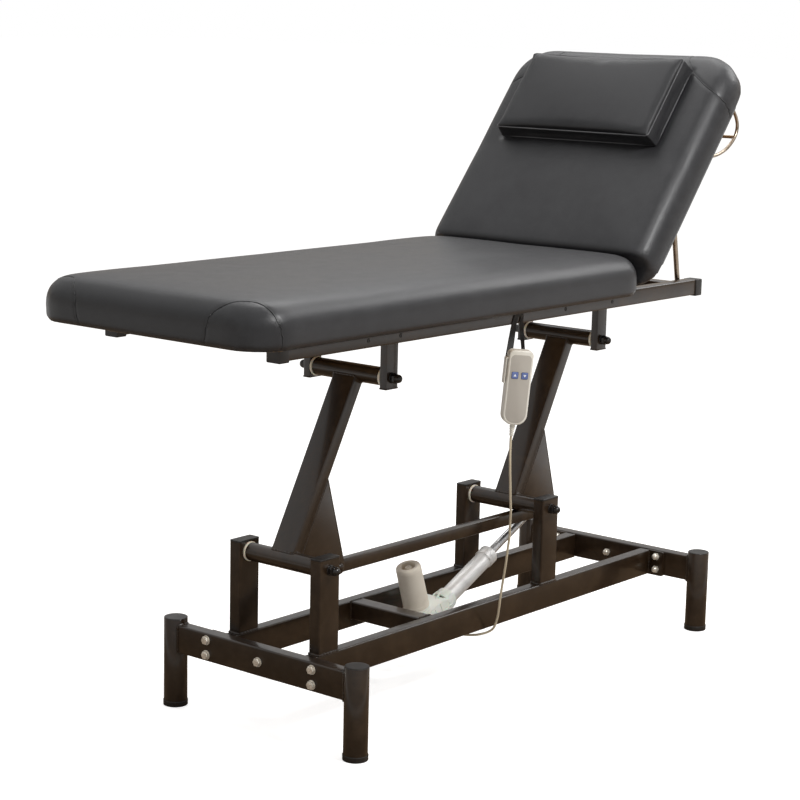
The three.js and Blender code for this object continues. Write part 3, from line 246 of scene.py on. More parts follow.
coat, given, place = effect("powder_coat")
peel = noise(coat, place, given["Scale"])
specks = add_node(coat, "ShaderNodeTexVoronoi", {"Vector": place, "Scale": given["Scale"]}).outputs[0]
dusty = noise(coat, place, 9.0, 6.0, 0.5)
rubbed = noise(coat, place, 60.0, 5.0, 0.3)
tone = two_tones(coat, given, remap(coat, plus(coat, dusty, rubbed, 0.5), 0.62, 1.0))
close(coat, given, tone, rubbed, plus(coat, peel, specks, 0.4))

bare, given, place = effect("bare_metal", [("Stretch", "NodeSocketVector", (1.0, 1.0, 1.0))])
drawn_place = add_node(bare, "ShaderNodeVectorMath", {0: place, 1: given["Stretch"]}, operation="MULTIPLY")
lines = noise(bare, drawn_place.outputs[0], given["Scale"], 4.0)
smoke = noise(bare, place, 30.0, 4.0, 0.5)
close(bare, given, two_tones(bare, given, remap(bare, smoke, 0.4, 0.75)), lines, lines)

moulded, given, place = effect("moulded_plastic")
spark = noise(moulded, place, given["Scale"], 3.0)
cast = noise(moulded, place, 22.0, 5.0, 0.4)
close(moulded, given, two_tones(moulded, given, remap(moulded, cast, 0.42, 0.78)), cast, spark)


# %% Finishes
def shade(red, green, blue):
    """A colour as written on a screen, 0 to 255, as the linear colour a shader needs."""
    linear = [
        value / 12.92 if value <= 0.04045 else ((value + 0.055) / 1.055) ** 2.4
        for value in (red / 255, green / 255, blue / 255)
    ]
    return (*linear, 1.0)


def finish(name, group, colour, second, scale, smooth, rough, bump, stretch=None, **sockets):
    """A material that takes its colour, roughness and bump (strength, distance) from an effect."""
    made = bpy.data.materials.new(name)
    made["slot"] = name
    made.use_nodes = True
    tree = made.node_tree
    shader = tree.nodes["Principled BSDF"]
    for title, value in sockets.items():
        shader.inputs[title.replace("_", " ")].default_value = value
    given = {"Colour": shade(*colour), "Second colour": shade(*second), "Scale": scale}
    given.update({"Smooth": smooth, "Rough": rough})
    if stretch:
        given["Stretch"] = stretch
    used = add_node(tree, "ShaderNodeGroup", given, node_tree=group).outputs
    height = {"Strength": bump[0], "Distance": bump[1], "Height": used["Height"]}
    tree.links.new(used["Colour"], shader.inputs["Base Color"])
    tree.links.new(used["Roughness"], shader.inputs["Roughness"])
    tree.links.new(add_node(tree, "ShaderNodeBump", height).outputs[0], shader.inputs["Normal"])
    return made


leather = finish(
    "charcoal_leather", hide, (41, 41, 43), (53, 53, 55), 850, 0.34, 0.48, (0.2, 0.0004),
    Specular_IOR_Level=0.32, Coat_Weight=0.07, Coat_Roughness=0.2,
)
# The pillow has the same leather as the cushions. This darker copy is painted shade, which holds down the
# light on its full top.
pillow_shaded_leather = finish(
    "pillow_shaded_leather", hide, (34, 34, 36), (45, 45, 47), 900, 0.34, 0.48, (0.18, 0.0004),
    Specular_IOR_Level=0.3,
)
seam_leather = finish("seam_leather", hide, (32, 32, 33), (46, 46, 47), 900, 0.4, 0.55, (0.3, 0.0004))
# The piping is the cushions' leather made lighter: a painted highlight along the pillow's seams.
piping_highlight_leather = finish("piping_highlight_leather", hide, (64, 64, 66), (82, 82, 84), 900, 0.28, 0.4, (0.2, 0.0003))
thread = finish("black_thread", moulded, (24, 24, 25), (40, 40, 42), 3000, 0.6, 0.8, (0.4, 0.0002))
# The powder coat is black; its brown tint is a painted reflection of a warm floor.
paint = finish(
    "black_paint", coat, (33, 22, 12), (48, 35, 22), 620, 0.28, 0.42, (0.12, 0.0003),
    Specular_IOR_Level=0.3, Coat_Weight=0.5, Coat_Roughness=0.12,
)
black_plastic = finish("black_plastic", moulded, (30, 28, 27), (44, 42, 40), 1400, 0.36, 0.55, (0.2, 0.0002))
black_steel = finish("black_steel", coat, (24, 22, 21), (40, 36, 34), 900, 0.22, 0.36, (0.08, 0.0002))
nylon = finish(
    "nylon", moulded, (232, 224, 206), (214, 202, 180), 900, 0.4, 0.55, (0.1, 0.0002),
    Subsurface_Weight=0.1, Subsurface_Scale=0.003,
)
zinc = finish(
    "zinc", bare, (232, 226, 214), (204, 196, 182), 700, 0.2, 0.36, (0.05, 0.0002), Metallic=0.55,
)
# The bent steel's warm tint is a painted reflection of a warm floor.
drawn_wire = finish(
    "drawn_steel", bare, (172, 158, 142), (130, 116, 100), 500, 0.18, 0.32, (0.05, 0.0002), Metallic=1.0,
)
aluminium = finish(
    "tube_aluminium", bare, (234, 233, 231), (216, 215, 214), 420, 0.36, 0.5, (0.08, 0.0002),
    (0.25, 1.0, 0.25), Metallic=0.4,
)
polished = finish(
    "polished_rod", bare, (214, 214, 214), (190, 190, 192), 420, 0.2, 0.32, (0.03, 0.0002), Metallic=0.65,
)
housing = finish(
    "housing_plastic", moulded, (228, 230, 222), (216, 218, 208), 700, 0.35, 0.5, (0.12, 0.0003),
    Subsurface_Weight=0.15, Subsurface_Scale=0.006,
)
motor_grey = finish("motor_grey", moulded, (221, 212, 197), (207, 196, 179), 1100, 0.42, 0.58, (0.2, 0.0003))
cream = finish("cream_plastic", moulded, (220, 215, 204), (208, 201, 187), 1300, 0.32, 0.48, (0.12, 0.0002))
panel_grey = finish("panel_grey", moulded, (175, 168, 158), (167, 160, 150), 1600, 0.38, 0.5, (0.1, 0.0002))
button_blue = finish("button_blue", moulded, (92, 108, 160), (106, 122, 172), 1600, 0.35, 0.48, (0.1, 0.0002))
mark_white = finish("mark_white", moulded, (236, 236, 234), (222, 222, 222), 1600, 0.35, 0.5, (0.05, 0.0001))
cable_beige = finish("cable_beige", moulded, (192, 178, 152), (176, 160, 134), 1200, 0.4, 0.55, (0.1, 0.0002))
webbing = finish("black_strap", moulded, (26, 25, 25), (46, 44, 43), 1600, 0.6, 0.8, (0.5, 0.0004))
plywood = finish(
    "plywood", bare, (178, 140, 96), (150, 112, 72), 60, 0.6, 0.8, (0.2, 0.0004), (0.08, 1.0, 1.0),
)
print("finishes:", len(bpy.data.materials))

# %% [markdown]
# Four CAD parts already have the right shape and stay: the backrest's slotted brackets and the two
# plywood boards. They only get their finish. All other parts are made again below.

# %% Finish the CAD parts that stay
cad_finishes = {
    "near_back_bracket": paint, "far_back_bracket": paint, "seat_board": plywood, "back_board": plywood,
}
for name, made in cad_finishes.items():
    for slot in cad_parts[name].material_slots:
        slot.material = made

# %% [markdown]
# A few ways of making shapes come back all the time. Turned parts are a profile that is spun round
# an axis. Bars are a cube with its long edges bevelled. Bent rods and cords are a round section
# swept along a line. Each helper gives a bmesh, and a finished piece has its place in its mesh.


# %% Shape helpers
def turned(profile, steps=48, bored=False):
    """A profile of (radius, height) in millimetres, spun round Z. A bored one is a closed profile."""
    shape = bmesh.new()
    points = [shape.verts.new((radius * MM, 0, height * MM)) for radius, height in profile]
    ends = [*points[1:], points[0]] if bored else points[1:]
    edges = [shape.edges.new(pair) for pair in zip(points, ends)]
    bmesh.ops.spin(
        shape, geom=points + edges, cent=(0, 0, 0), axis=(0, 0, 1),
        angle=2 * math.pi, steps=steps, use_merge=True, use_duplicate=False,
    )
    bmesh.ops.remove_doubles(shape, verts=shape.verts, dist=1e-6)
    bmesh.ops.recalc_face_normals(shape, faces=shape.faces)
    return shape


def round_pin(radius, half):
    """A plain round pin along Z, with its middle at the origin."""
    return turned([(0, -half), (radius, -half), (radius, half), (0, half)])


def bevel(shape, edges, offset, segments):
    """Rounds edges by an offset in millimetres."""
    bmesh.ops.bevel(
        shape, geom=list(edges), offset=offset * MM, offset_type="OFFSET", affect="EDGES",
        segments=segments, profile=0.5, material=-1, clamp_overlap=True,
    )


def edges_along(shape, axis):
    """The edges of a shape that run along one axis, 0 to 2."""
    runs = [(edge, edge.verts[1].co - edge.verts[0].co) for edge in shape.edges]
    return [edge for edge, run in runs if abs(run[axis]) > 0.999 * run.length]


def block(size):
    """A plain box in millimetres."""
    shape = bmesh.new()
    bmesh.ops.create_cube(shape, size=1)
    bmesh.ops.scale(shape, vec=Vector(size) * MM, verts=shape.verts)
    return shape


def bar(size, axis, corner, segments=4):
    """A box with the four edges along an axis rounded."""
    shape = block(size)
    bevel(shape, edges_along(shape, axis), corner, segments)
    return shape


def rounded_corners(corners, radii, steps):
    """A line of points in millimetres whose inner corners are rounded."""
    corners = [Vector(corner) for corner in corners]
    points = [corners[0]]
    for before, corner, after, radius in zip(corners, corners[1:], corners[2:], radii):
        into = (corner - before).normalized()
        out = (after - corner).normalized()
        turn = into.angle(out)
        start = corner - into * radius * math.tan(turn / 2)
        inward = (out - into * into.dot(out)).normalized()
        centre = start + inward * radius
        for step in range(steps + 1):
            angle = turn * step / steps
            points.append(centre - inward * radius * math.cos(angle) + into * radius * math.sin(angle))
    points.append(corners[-1])
    return points


def smooth_line(points, steps=8):
    """A smooth line that passes through points."""
    points = [Vector(point) for point in points]
    padded = [2 * points[0] - points[1], *points, 2 * points[-1] - points[-2]]
    line = []
    for a, b, c, d in zip(padded, padded[1:], padded[2:], padded[3:]):
        for step in range(steps):
            t = step / steps
            line.append(
                0.5 * (2 * b + (c - a) * t + (2 * a - 5 * b + 4 * c - d) * t**2
                       + (3 * b - a - 3 * c + d) * t**3)
            )
    return [*line, points[-1]]


def swept(points, radius, sides, closed=False, widths=None):
    """A round section of a radius in millimetres along points in millimetres."""
    data = bpy.data.curves.new("section", "CURVE")
    data.dimensions = "3D"
    data.bevel_depth = radius * MM
    data.bevel_resolution = (sides - 4) // 2
    data.use_fill_caps = not closed
    spline = data.splines.new("POLY")
    spline.points.add(len(points) - 1)
    for index, (target, point) in enumerate(zip(spline.points, points)):
        target.co = (*(Vector(point) * MM), 1)
        target.radius = widths[index] if widths else 1
    spline.use_cyclic_u = closed
    holder = bpy.data.objects.new("section", data)
    scene.collection.objects.link(holder)
    graph = bpy.context.evaluated_depsgraph_get()
    mesh = bpy.data.meshes.new_from_object(holder.evaluated_get(graph))
    shape = bmesh.new()
    shape.from_mesh(mesh)
    bpy.data.objects.remove(holder)
    bpy.data.curves.remove(data)
    bpy.data.meshes.remove(mesh)
    return shape


def placed(shape, matrix):
    """A shape, moved by a matrix."""
    bmesh.ops.transform(shape, matrix=matrix, verts=shape.verts)
    return shape


def at(x, y, z):
    """A move by millimetres."""
    return Matrix.Translation(Vector((x, y, z)) * MM)


def turn(degrees, axis):
    """A turn about an axis."""
    return Matrix.Rotation(math.radians(degrees), 4, axis)


def joined(shapes):
    """Several shapes as one."""
    whole = bmesh.new()
    for shape in shapes:
        mesh = bpy.data.meshes.new("part")
        shape.to_mesh(mesh)
        shape.free()
        whole.from_mesh(mesh)
        bpy.data.meshes.remove(mesh)
    return whole


def dressed(piece, material, body, replaces):
    """Gives a piece its finish, the body it rides on and the CAD parts it stands in for."""
    piece.data.materials.append(material)
    piece.data.polygons.foreach_set("use_smooth", [True] * len(piece.data.polygons))
    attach(piece, body)
    if replaces:
        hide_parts(*replaces)


def finished(name, shape, material, body, replaces=(), angle=35):
    """A piece of a shape, with faces that point out and edges that are sharp above an angle."""
    bmesh.ops.remove_doubles(shape, verts=shape.verts, dist=1e-7)
    bmesh.ops.recalc_face_normals(shape, faces=shape.faces)
    piece = linked(name, shape)
    dressed(piece, material, body, replaces)
    piece.data.set_sharp_from_angle(angle=math.radians(angle))
    return piece


def centre_of(node):
    """The middle of a CAD node in millimetres."""
    low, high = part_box(node)
    return (low + high) / 2 / MM


# %% [markdown]
# The hand control's cable is 0.65 m of beige flex, 5.2 mm thick. It leaves the strain relief
# straight down, hangs free beside the head arm, turns under the near base rail and goes up into
# the gear housing. The line repeats the CAD model's own points, so it touches both ends.
# It can't follow the lift, so it flattens towards the housing along the way the top moves.

# %% Hand control cable
cable_points = [
    (-7.06, -255.6, 584.73), (-7.64, -254.89, 573.37), (-11.76, -258, 541), (-8.76, -257, 508),
    (0.24, -252, 477), (10.24, -246, 446), (21.24, -240, 415), (31.24, -232, 385),
    (40.24, -225, 354), (47.24, -216, 323), (55.24, -207, 292), (63.24, -197, 262),
    (72.24, -186, 232), (82.24, -175, 203), (93.24, -164, 174), (103.24, -152, 144),
    (108.24, -136, 116), (96.24, -110, 102), (82.24, -80, 98), (71.24, -49, 102),
    (61.89, -19, 111.17), (61.89, -7.3, 111.17),
]
cable_line = smooth_line(cable_points, 6)
cable_length = sum((b - a).length for a, b in zip(cable_line, cable_line[1:])) * MM
print("cable length in metres:", round(cable_length, 4))
cable = finished(
    "hand_control_cable", swept(cable_line, 2.6, 12), cable_beige, "base", ["handset_cable"], angle=60,
)
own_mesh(cable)

# %% [markdown]
# The frame is welded from black tube and bolted at its corners. A close look at the real thing
# shows three things that a plain box lacks: rounded tube corners, beads of weld where tubes
# meet, and fasteners with chamfered rims. These helpers make them, and they are used all over.


# %% Fasteners and welds
def dome(radius, base, rise):
    """The profile of a dome: from its rim at a height up to the axis."""
    steps = 7
    angles = [math.pi / 2 * step / steps for step in range(steps + 1)]
    return [(radius * math.cos(angle), base + rise * math.sin(angle)) for angle in angles]


def flat_rims(shape):
    """The edges of a shape that lie level."""
    return [edge for edge in shape.edges if abs(edge.verts[0].co.z - edge.verts[1].co.z) < 1e-6]


def hexagon(across, height, base=0.0, rim=0.8):
    """A nut or bolt head that stands on Z, with its rims chamfered."""
    shape = bmesh.new()
    radius = across / math.sqrt(3) * MM
    bmesh.ops.create_cone(
        shape, cap_ends=True, segments=6, radius1=radius, radius2=radius, depth=height * MM,
    )
    bevel(shape, flat_rims(shape), rim, 2)
    return placed(shape, at(0, 0, base + height / 2))


def facing(axis, side):
    """A turn of Z to face along X or Y, to the plus or the minus side."""
    return turn(90 * side, "Y") if axis == "X" else turn(-90 * side, "X")


def even(points, spacing, normals=None):
    """Points at even steps along a line, with the direction that goes with each."""
    normals = normals or points
    places = [points[0]]
    outs = [normals[0]]
    left = spacing
    for a, b, out in zip(points, points[1:], normals[1:]):
        run = (b - a).length
        while run >= left:
            a = a + (b - a) * (left / run)
            places.append(a.copy())
            outs.append(out)
            run = (b - a).length
            left = spacing
        left -= run
    return places, outs


def weld(points, radius=2.0, closed=True):
    """A bead of weld metal along points, which swells and thins a little as it does by hand."""
    line = even(points, 2.4)[0]
    if closed:
        line = line[:-1]
    widths = [1 + 0.15 * math.sin(1.9 * k) + 0.1 * math.sin(4.7 * k) for k in range(len(line))]
    return swept(line, radius, 8, closed, widths)


def around(width, depth, corner, steps=3):
    """A line round a rectangle in X and Y with rounded corners, such as a tube's section."""
    x, y = width / 2, depth / 2
    corners = [(x, 0, 0), (x, y, 0), (-x, y, 0), (-x, -y, 0), (x, -y, 0), (x, 0, 0)]
    return rounded_corners(corners, [corner] * 4, steps)


def saddle(across, along, corner, radius):
    """A line round a tube's section where the tube meets a round bar that lies along Y."""
    return [
        Vector((p.x, p.y, math.sqrt(radius**2 - p.x**2)))
        for p in even(around(across, along, corner), 1.2)[0]
    ]


def pushed(shape, face, run):
    """Extrudes a face of a shape, by a run in millimetres."""
    grown = bmesh.ops.extrude_face_region(shape, geom=[face])["geom"]
    moved = [item for item in grown if isinstance(item, bmesh.types.BMVert)]
    bmesh.ops.translate(shape, vec=Vector(run) * MM, verts=moved)


def slab(outline, start, thickness):
    """A slab with an outline in X and Z, that reaches along Y from a start."""
    shape = bmesh.new()
    face = shape.faces.new([shape.verts.new((x * MM, start * MM, z * MM)) for x, z in outline])
    pushed(shape, face, (0, thickness, 0))
    bmesh.ops.recalc_face_normals(shape, faces=shape.faces)
    return shape


def plate(outline, start, thickness, rim=0.4):
    """A slab with both of its rims rounded."""
    shape = slab(outline, start, thickness)
    across = set(edges_along(shape, 1))
    bevel(shape, [edge for edge in shape.edges if edge not in across], rim, 2)
    return shape


def arc(x, z, radius, start, end, steps=12):
    """Points of an arc in X and Z, with its angles in degrees."""
    angles = [math.radians(start + (end - start) * step / steps) for step in range(steps + 1)]
    return [(x + radius * math.cos(angle), z + radius * math.sin(angle)) for angle in angles]


sides = (-1, 1)
ends = ("foot", "head")
near_and_far = (("near", -1), ("far", 1))

# %% [markdown]
# The base. Each end frame is a flat beam between two round legs, with a plastic plug on top of each
# leg and a cap under it. Two side rails carry end plates that are bolted to the beams: hexagon heads
# outside, domed nuts inside. Places come from the CAD nodes or repeat the CAD model's own numbers.

# %% End frames, legs and foot caps
base_x = centre_of("near_base_rail").x
leg_y = 250.5
beam_z = 149
leg_profile = [(0, 4.3), (24.8, 4.3), (24.8, 189.2), (24.3, 190), (0, 190)]
leg_plug = [(0, 190.1), (24.4, 190.1), (24.8, 190.6), (24.6, 191.4), (23.6, 191.9), (20, 192), (0, 192)]
foot_cup = [
    (0, 0), (24.6, 0), (25.6, 0.5), (26, 1.4), (26, 8.6), (26.2, 9.1), (26.2, 11.2), (25.8, 11.9),
    (25.1, 12), (24.9, 11.4), (24.9, 6), (0, 6),
]
plugs, cups = [], []
for end in ends:
    x = centre_of(f"{end}_near_foot_cap").x
    parts = [placed(bar((30, 2 * leg_y, 60), 1, 3.5), at(x, 0, beam_z))]
    for side in sides:
        foot = at(x, side * leg_y, 0)
        parts.append(placed(turned(leg_profile), foot))
        bead = weld(saddle(30, 60, 3.5, 25.4), 2.8)
        parts.append(placed(bead, at(x, side * leg_y, beam_z) @ turn(90 * side, "X")))
        plugs.append(placed(turned(leg_plug), foot))
        cups.append(placed(turned(foot_cup), foot))
    finished(f"{end}_legs_and_beam", joined(parts), paint, "base", [f"{end}_end_frame"])
finished("leg_plugs", joined(plugs), black_plastic, "base")
finished(
    "foot_cups", joined(cups), black_plastic, "base",
    [f"{end}_{name}_foot_cap" for end in ends for name in ("near", "far")],
)
print("legs stand at X in mm:", round(centre_of("foot_near_foot_cap").x, 2), round(x, 2))


# %% Bolts and domed nuts
def bolt_head():
    """A hexagon head on a plain washer."""
    washer = turned([(0, 0), (9.6, 0), (9.9, 0.3), (9.9, 1.2), (9.5, 1.5), (0, 1.5)])
    return joined([washer, hexagon(15.5, 6, 1.5, 1.1)])


def domed_nut():
    """A domed nut: a hexagon with a round cap over the thread."""
    return joined([hexagon(15.5, 6.5, 0, 0.9), turned([(0, 6), (7.2, 6), *dome(7.2, 8, 6.5)])])


bolts = []
for end, side in zip(ends, sides):
    x = centre_of(f"{end}_near_foot_cap").x
    for y, z in ((-146, 164.6), (-146, 133.1), (0, beam_z), (146, 164.6), (146, 133.1)):
        inner = 20.3 if y else 15
        bolts.append(placed(bolt_head(), at(x + side * 15, y, z) @ facing("X", side)))
        bolts.append(placed(domed_nut(), at(x - side * inner, y, z) @ facing("X", -side)))
finished("frame_bolts", joined(bolts), zinc, "base")

# %% Base rails
rail_y = 110.75
rail_z = 147
for name, side in near_and_far:
    parts = [placed(bar((1224.4, 28, 60), 0, 3.5), at(base_x, side * rail_y, rail_z))]
    for end in sides:
        parts.append(placed(bar((5, 68, 60), 0, 5), at(base_x + end * 609.7, side * 130.75, rail_z)))
        foot = Vector((base_x + end * 606.8, side * 125, 120))
        parts.append(weld([foot, foot + Vector((0, 0, 54))], 2.4, False))
    finished(f"{name}_rail_tube", joined(parts), paint, "base", [f"{name}_base_rail"])

# %% Posts
plugs = []
for end in ends:
    for name, side in near_and_far:
        node = f"{end}_{name}_post"
        x = centre_of(node).x
        tube = placed(bar((60, 28, 193.7), 2, 3.5), at(x, side * rail_y, 274.15))
        bead = placed(weld(around(60, 28, 3.5), 2.7), at(x, side * rail_y, 178))
        finished(f"{node}_tube", joined([tube, bead]), paint, "base", [node])
        plug = bar((60.6, 28.6, 3.6), 2, 3.8)
        bevel(plug, flat_rims(plug), 1.1, 3)
        plugs.append(placed(plug, at(x, side * rail_y, 372.9)))
finished("post_plugs", joined(plugs), black_plastic, "base")

# %% Cross tube with the actuator's lugs
pin = centre_of("actuator_rear_pin")
pin_z = 88
drive_y = 17
tube_x = base_x - 225
tube_z = 157
lug = [
    (tube_x + 16.5, 173.5), (tube_x + 16.5, 140.5), *arc(pin.x, pin_z, 16, 216.14, 396.14, 16),
]
parts = [
    placed(bar((40, 192.9, 40), 1, 3.5), at(tube_x, 0, tube_z)),
    plate(lug, 1, 5, 0.6),
    plate(lug, 28, 5, 0.6),
]
for side in sides:
    bead = weld(around(40, 40, 3.5), 2.3)
    parts.append(placed(bead, at(tube_x, side * 95.6, tube_z) @ turn(90, "X")))
finished("cross_tube_and_lugs", joined(parts), paint, "base", ["base_cross_tube"])
pin_head = turned([(0, 0), (8.6, 0), (9, 0.4), (9, 4.8), (7.8, 6), (0, 6)])
parts = [
    placed(pin_head, at(pin.x, 0.7, pin_z) @ facing("Y", -1)),
    placed(round_pin(6, 17), at(pin.x, drive_y, pin_z) @ facing("Y", 1)),
    placed(hexagon(15.6, 6), at(pin.x, 33.3, pin_z) @ facing("Y", 1)),
]
finished("clevis_pin", joined(parts), zinc, "base", ["actuator_rear_pin"])

# %% [markdown]
# The lift is a parallelogram: two swing arms, joined by a tie bar, turn on four pivot rods. Each rod
# ends in a flanged nut and a domed nut, but the lower ones have a flat head on the far side. Nylon
# washers keep the arms off the posts and hangers. The arms are drawn upright and then leaned.


# %% Pivot rods and washers
def rod_end():
    """A flanged nut with a domed nut on it."""
    return joined([
        turned([(0, 0.3), (10.8, 0.3), (11.2, 0.7), (11.2, 2), (10.7, 2.4), (0, 2.4)]),
        hexagon(18.6, 9.6, 2.4, 1.3),
        turned([(0, 11.8), (8.9, 11.8), (9.1, 12.3), (9.1, 15.6), *dome(9, 15.7, 9)]),
    ])


def rod_head():
    """The low, flat head on the far side of the lower rods."""
    return turned([(0, 0.3), (11, 0.3), (11.5, 0.8), (11.5, 3), (10.4, 4.2), (0, 4.2)])


for end in ends:
    for level, outer, body in (("lower", 124.75, "base"), ("upper", 113.3, "top")):
        node = f"{end}_{level}_pivot_rod"
        centre = centre_of(node)
        parts = [placed(round_pin(8, outer), turn(90, "X"))]
        for side in sides:
            tip = rod_head() if level == "lower" and side > 0 else rod_end()
            parts.append(placed(tip, at(0, side * outer, 0) @ facing("Y", side)))
        whole = placed(joined(parts), at(centre.x, 0, centre.z))
        finished(f"{node}_and_nuts", whole, black_steel, body, [node])

washer_profile = [(8.3, 0), (19.6, 0), (20.5, 0.9), (20.5, 4.1), (19.6, 5), (8.3, 5)]
for level, body in (("lower", "base"), ("upper", "top")):
    nodes = [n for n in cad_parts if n.endswith(f"{level}_washer")]
    parts = []
    for node in nodes:
        washer = turned(washer_profile, bored=True)
        middle = centre_of(node) + Vector((0, 2.5, 0))
        parts.append(placed(washer, at(*middle) @ turn(90, "X")))
    finished(f"{level}_nylon_washers", joined(parts), nylon, body, nodes)

# %% Swing arms
arm_length = 414
link_x = 141.4
link_z = 32.4
gusset_top = 183
edge_angle = -45.63
gusset = [
    (13, gusset_top), (15, gusset_top), *arc(link_x, link_z, 15, edge_angle + 90, -77.1), (4.24, -18.52),
    (0, 0), (0, gusset_top),
]
link_head = [(0, -1), (9, -1), *dome(9, 0, 6)]


def pivot_tube(half):
    """A tube along Y that turns on a pivot rod."""
    profile = [(8.3, -half), (18.2, -half), (19, 0.8 - half), (19, half - 0.8), (18.2, half), (8.3, half)]
    return placed(turned(profile, bored=True), turn(90, "X"))


def swing_arm():
    """A swing arm that stands upright on its lower pivot."""
    cover_place = at(15, 0, gusset_top) @ turn(-edge_angle, "Y") @ at(81.3, 0, -1.5)
    parts = [
        placed(bar((30, 60, arm_length), 2, 3.5), at(0, 0, arm_length / 2)),
        pivot_tube(91.15),
        placed(pivot_tube(89.7), at(0, 0, arm_length)),
        plate(gusset, -30, 3, 0.5),
        plate(gusset, 27, 3, 0.5),
        placed(bar((162.6, 60, 3), 1, 0.7, 2), cover_place),
        weld(saddle(30, 60, 3.5, 19.5), 2.2),
        placed(weld(saddle(30, 60, 3.5, 19.5), 2.2), at(0, 0, arm_length) @ turn(180, "Y")),
        placed(round_pin(5, 30), at(link_x, 0, link_z) @ turn(90, "X")),
        weld([Vector((15.6, -27, 183.6)), Vector((15.6, 27, 183.6))], 2.2, False),
    ]
    for side in sides:
        parts.append(placed(turned(link_head), at(link_x, side * 30, link_z) @ facing("Y", side)))
        seam = [Vector((14.2, side * 29.4, 18)), Vector((14.2, side * 29.4, gusset_top))]
        parts.append(weld(seam, 1.3, False))
    return joined(parts)


for end in ends:
    pivot = centre_of(f"{end}_lower_pivot_rod")
    place = at(pivot.x, 0, pivot.z) @ turn(28.1, "Y")
    arm = placed(swing_arm(), place)
    finished(f"{end}_arm_weldment", arm, paint, f"{end}_arm", [f"{end}_swing_arm"])
    link = (place @ at(link_x, 0, link_z)).translation / MM
    print(end, "arm's link pin in mm:", [round(value, 2) for value in link])


# %% Tie bar
def hollow_tube(size, corner, wall, depth):
    """A box tube along X that is open at both ends."""
    shape = bar(size, 0, corner, 3)
    tips = [face for face in shape.faces if abs(face.normal.x) > 0.9]
    bmesh.ops.inset_individual(shape, faces=tips, thickness=wall * MM)
    for face in [face for face in tips if face.is_valid]:
        pushed(shape, face, -face.normal * depth)
        shape.faces.remove(face)
    return shape


low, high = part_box("tie_bar")
tie_length = (high.x - low.x) / MM
tie = placed(hollow_tube((tie_length, 20, 28), 3, 2, 40), at(*centre_of("tie_bar")))
finished("tie_bar_tube", tie, paint, "tie", ["tie_bar"])
print("tie bar in mm:", round(tie_length, 1))

# %% [markdown]
# The actuator lies along the middle of the base. Its gear housing is one moulding of pale nylon with
# tapered ribs round a socket for the outer tube, and the motor stands on it with a recessed top.
# It is drawn level with its rear pin at the origin, and one matrix then tilts all of it.

# %% Gear housing
drive = at(pin.x, drive_y, pin_z) @ turn(-25.585, "Y")
body_outline = [
    *arc(124, -16, 8, -75, 0, 5), *arc(124, 11, 8, 0, 72, 5), (100, 26), *arc(31, 16, 10, 90, 180, 6),
    *arc(31, -19, 10, 180, 270, 6), (100, -29),
]
case = plate(body_outline, -24, 74.5, 4)
socket = turned([
    (20.4, 130), (24.6, 130), (25.4, 134), (25, 150), (24.2, 153.4), (23.4, 154), (21, 154), (20.4, 153.2),
], bored=True)
rear_lug = plate([*arc(0, 0, 14, 90, 270, 14), (26, -14), (26, 14)], -10, 20, 1.2)
parts = [case, placed(socket, turn(90, "Y")), rear_lug]
for angle in range(0, 360, 45):
    rib = plate([(112, 22), (131, 27.6), (148, 25), (148, 21), (112, 18)], -1.3, 2.6, 0.5)
    parts.append(placed(rib, turn(angle, "X")))
for x in (42, 62, 82, 102):
    parts.append(plate([(x - 1.2, -26), (x + 1.2, -26), (x + 1.2, 23), (x - 1.2, 23)], -25.4, 3, 0.6))
parts.append(plate([(28, -2.2), (126, -2.2), (126, 0.6), (28, 0.6)], -25.6, 3, 0.6))
motor_place = at(72.4, 21, 30) @ turn(6.9, "Y")
seat_ring = turned([(0, -26), (29.5, -26), (31.2, -7), (31.2, -1.4), (30.6, -0.3), (0, -0.3)])
parts.append(placed(seat_ring, motor_place))
gland = turned([(0, 0), (5.2, 0), (5, 2.4), (3.8, 5), (3.4, 11.5), (0, 11.5)])
parts.append(placed(gland, at(62, -24.2, -4) @ turn(90, "X")))
finished("gear_case", placed(joined(parts), drive), housing, "actuator", ["gear_housing"])

# %% Motor
can = [
    (0, 0), (29, 0), (29.5, 0.5), (29.5, 8), (29.1, 8.4), (29.1, 9), (28.8, 50), (28.3, 92), (28.5, 93),
    (28.3, 94), (28, 98.8), (27, 101.5), (25.2, 102.9), (23, 103.2), (18, 103.2), (16.4, 102.4), (15.6, 100),
    (15.2, 93.4), (14.4, 92.4), (9, 92.4), (8.3, 93.2), (8, 99), (7, 100.4), (3.2, 100.6), (2.6, 99.6),
    (0, 99.6),
]
finished("motor_can", placed(turned(can, 56), drive @ motor_place), motor_grey, "actuator", ["motor"])

# %% Outer tube, collar and piston rod
tube = turned([(16, 134.3), (20, 134.3), (20, 315.4), (19.6, 316), (16.4, 316), (16, 315.4)], 56, True)
finished("outer_tube", placed(tube, drive @ turn(90, "Y")), aluminium, "actuator", ["actuator_tube"])
collar = turned([
    (9.9, 300), (20.1, 300), (20.1, 296), (21.8, 296), (22.5, 296.8), (22.5, 303.4), (22, 304), (22, 305),
    (22.5, 305.6), (22.5, 318.6), (21.4, 321), (19.4, 322), (12, 322), (9.9, 320),
], 56, True)
finished("end_collar", placed(collar, drive @ turn(90, "Y")), aluminium, "actuator", ["tube_collar"])
reach = 517.76
rod_bar = placed(turned([(0, 254), (9.5, 254), (9.5, reach - 15), (0, reach - 15)], 40), turn(90, "Y"))
eye = turned([
    (12, -7.4), (12.6, -8), (16.4, -8), (17, -7.4), (17, 7.4), (16.4, 8), (12.6, 8), (12, 7.4),
], bored=True)
piston = placed(joined([rod_bar, placed(eye, at(reach, 0, 0) @ turn(90, "X"))]), drive)
finished("piston_rod_and_eye", piston, polished, "piston", ["piston_rod"])
eye_place = (drive @ at(reach, 0, 0)).translation / MM
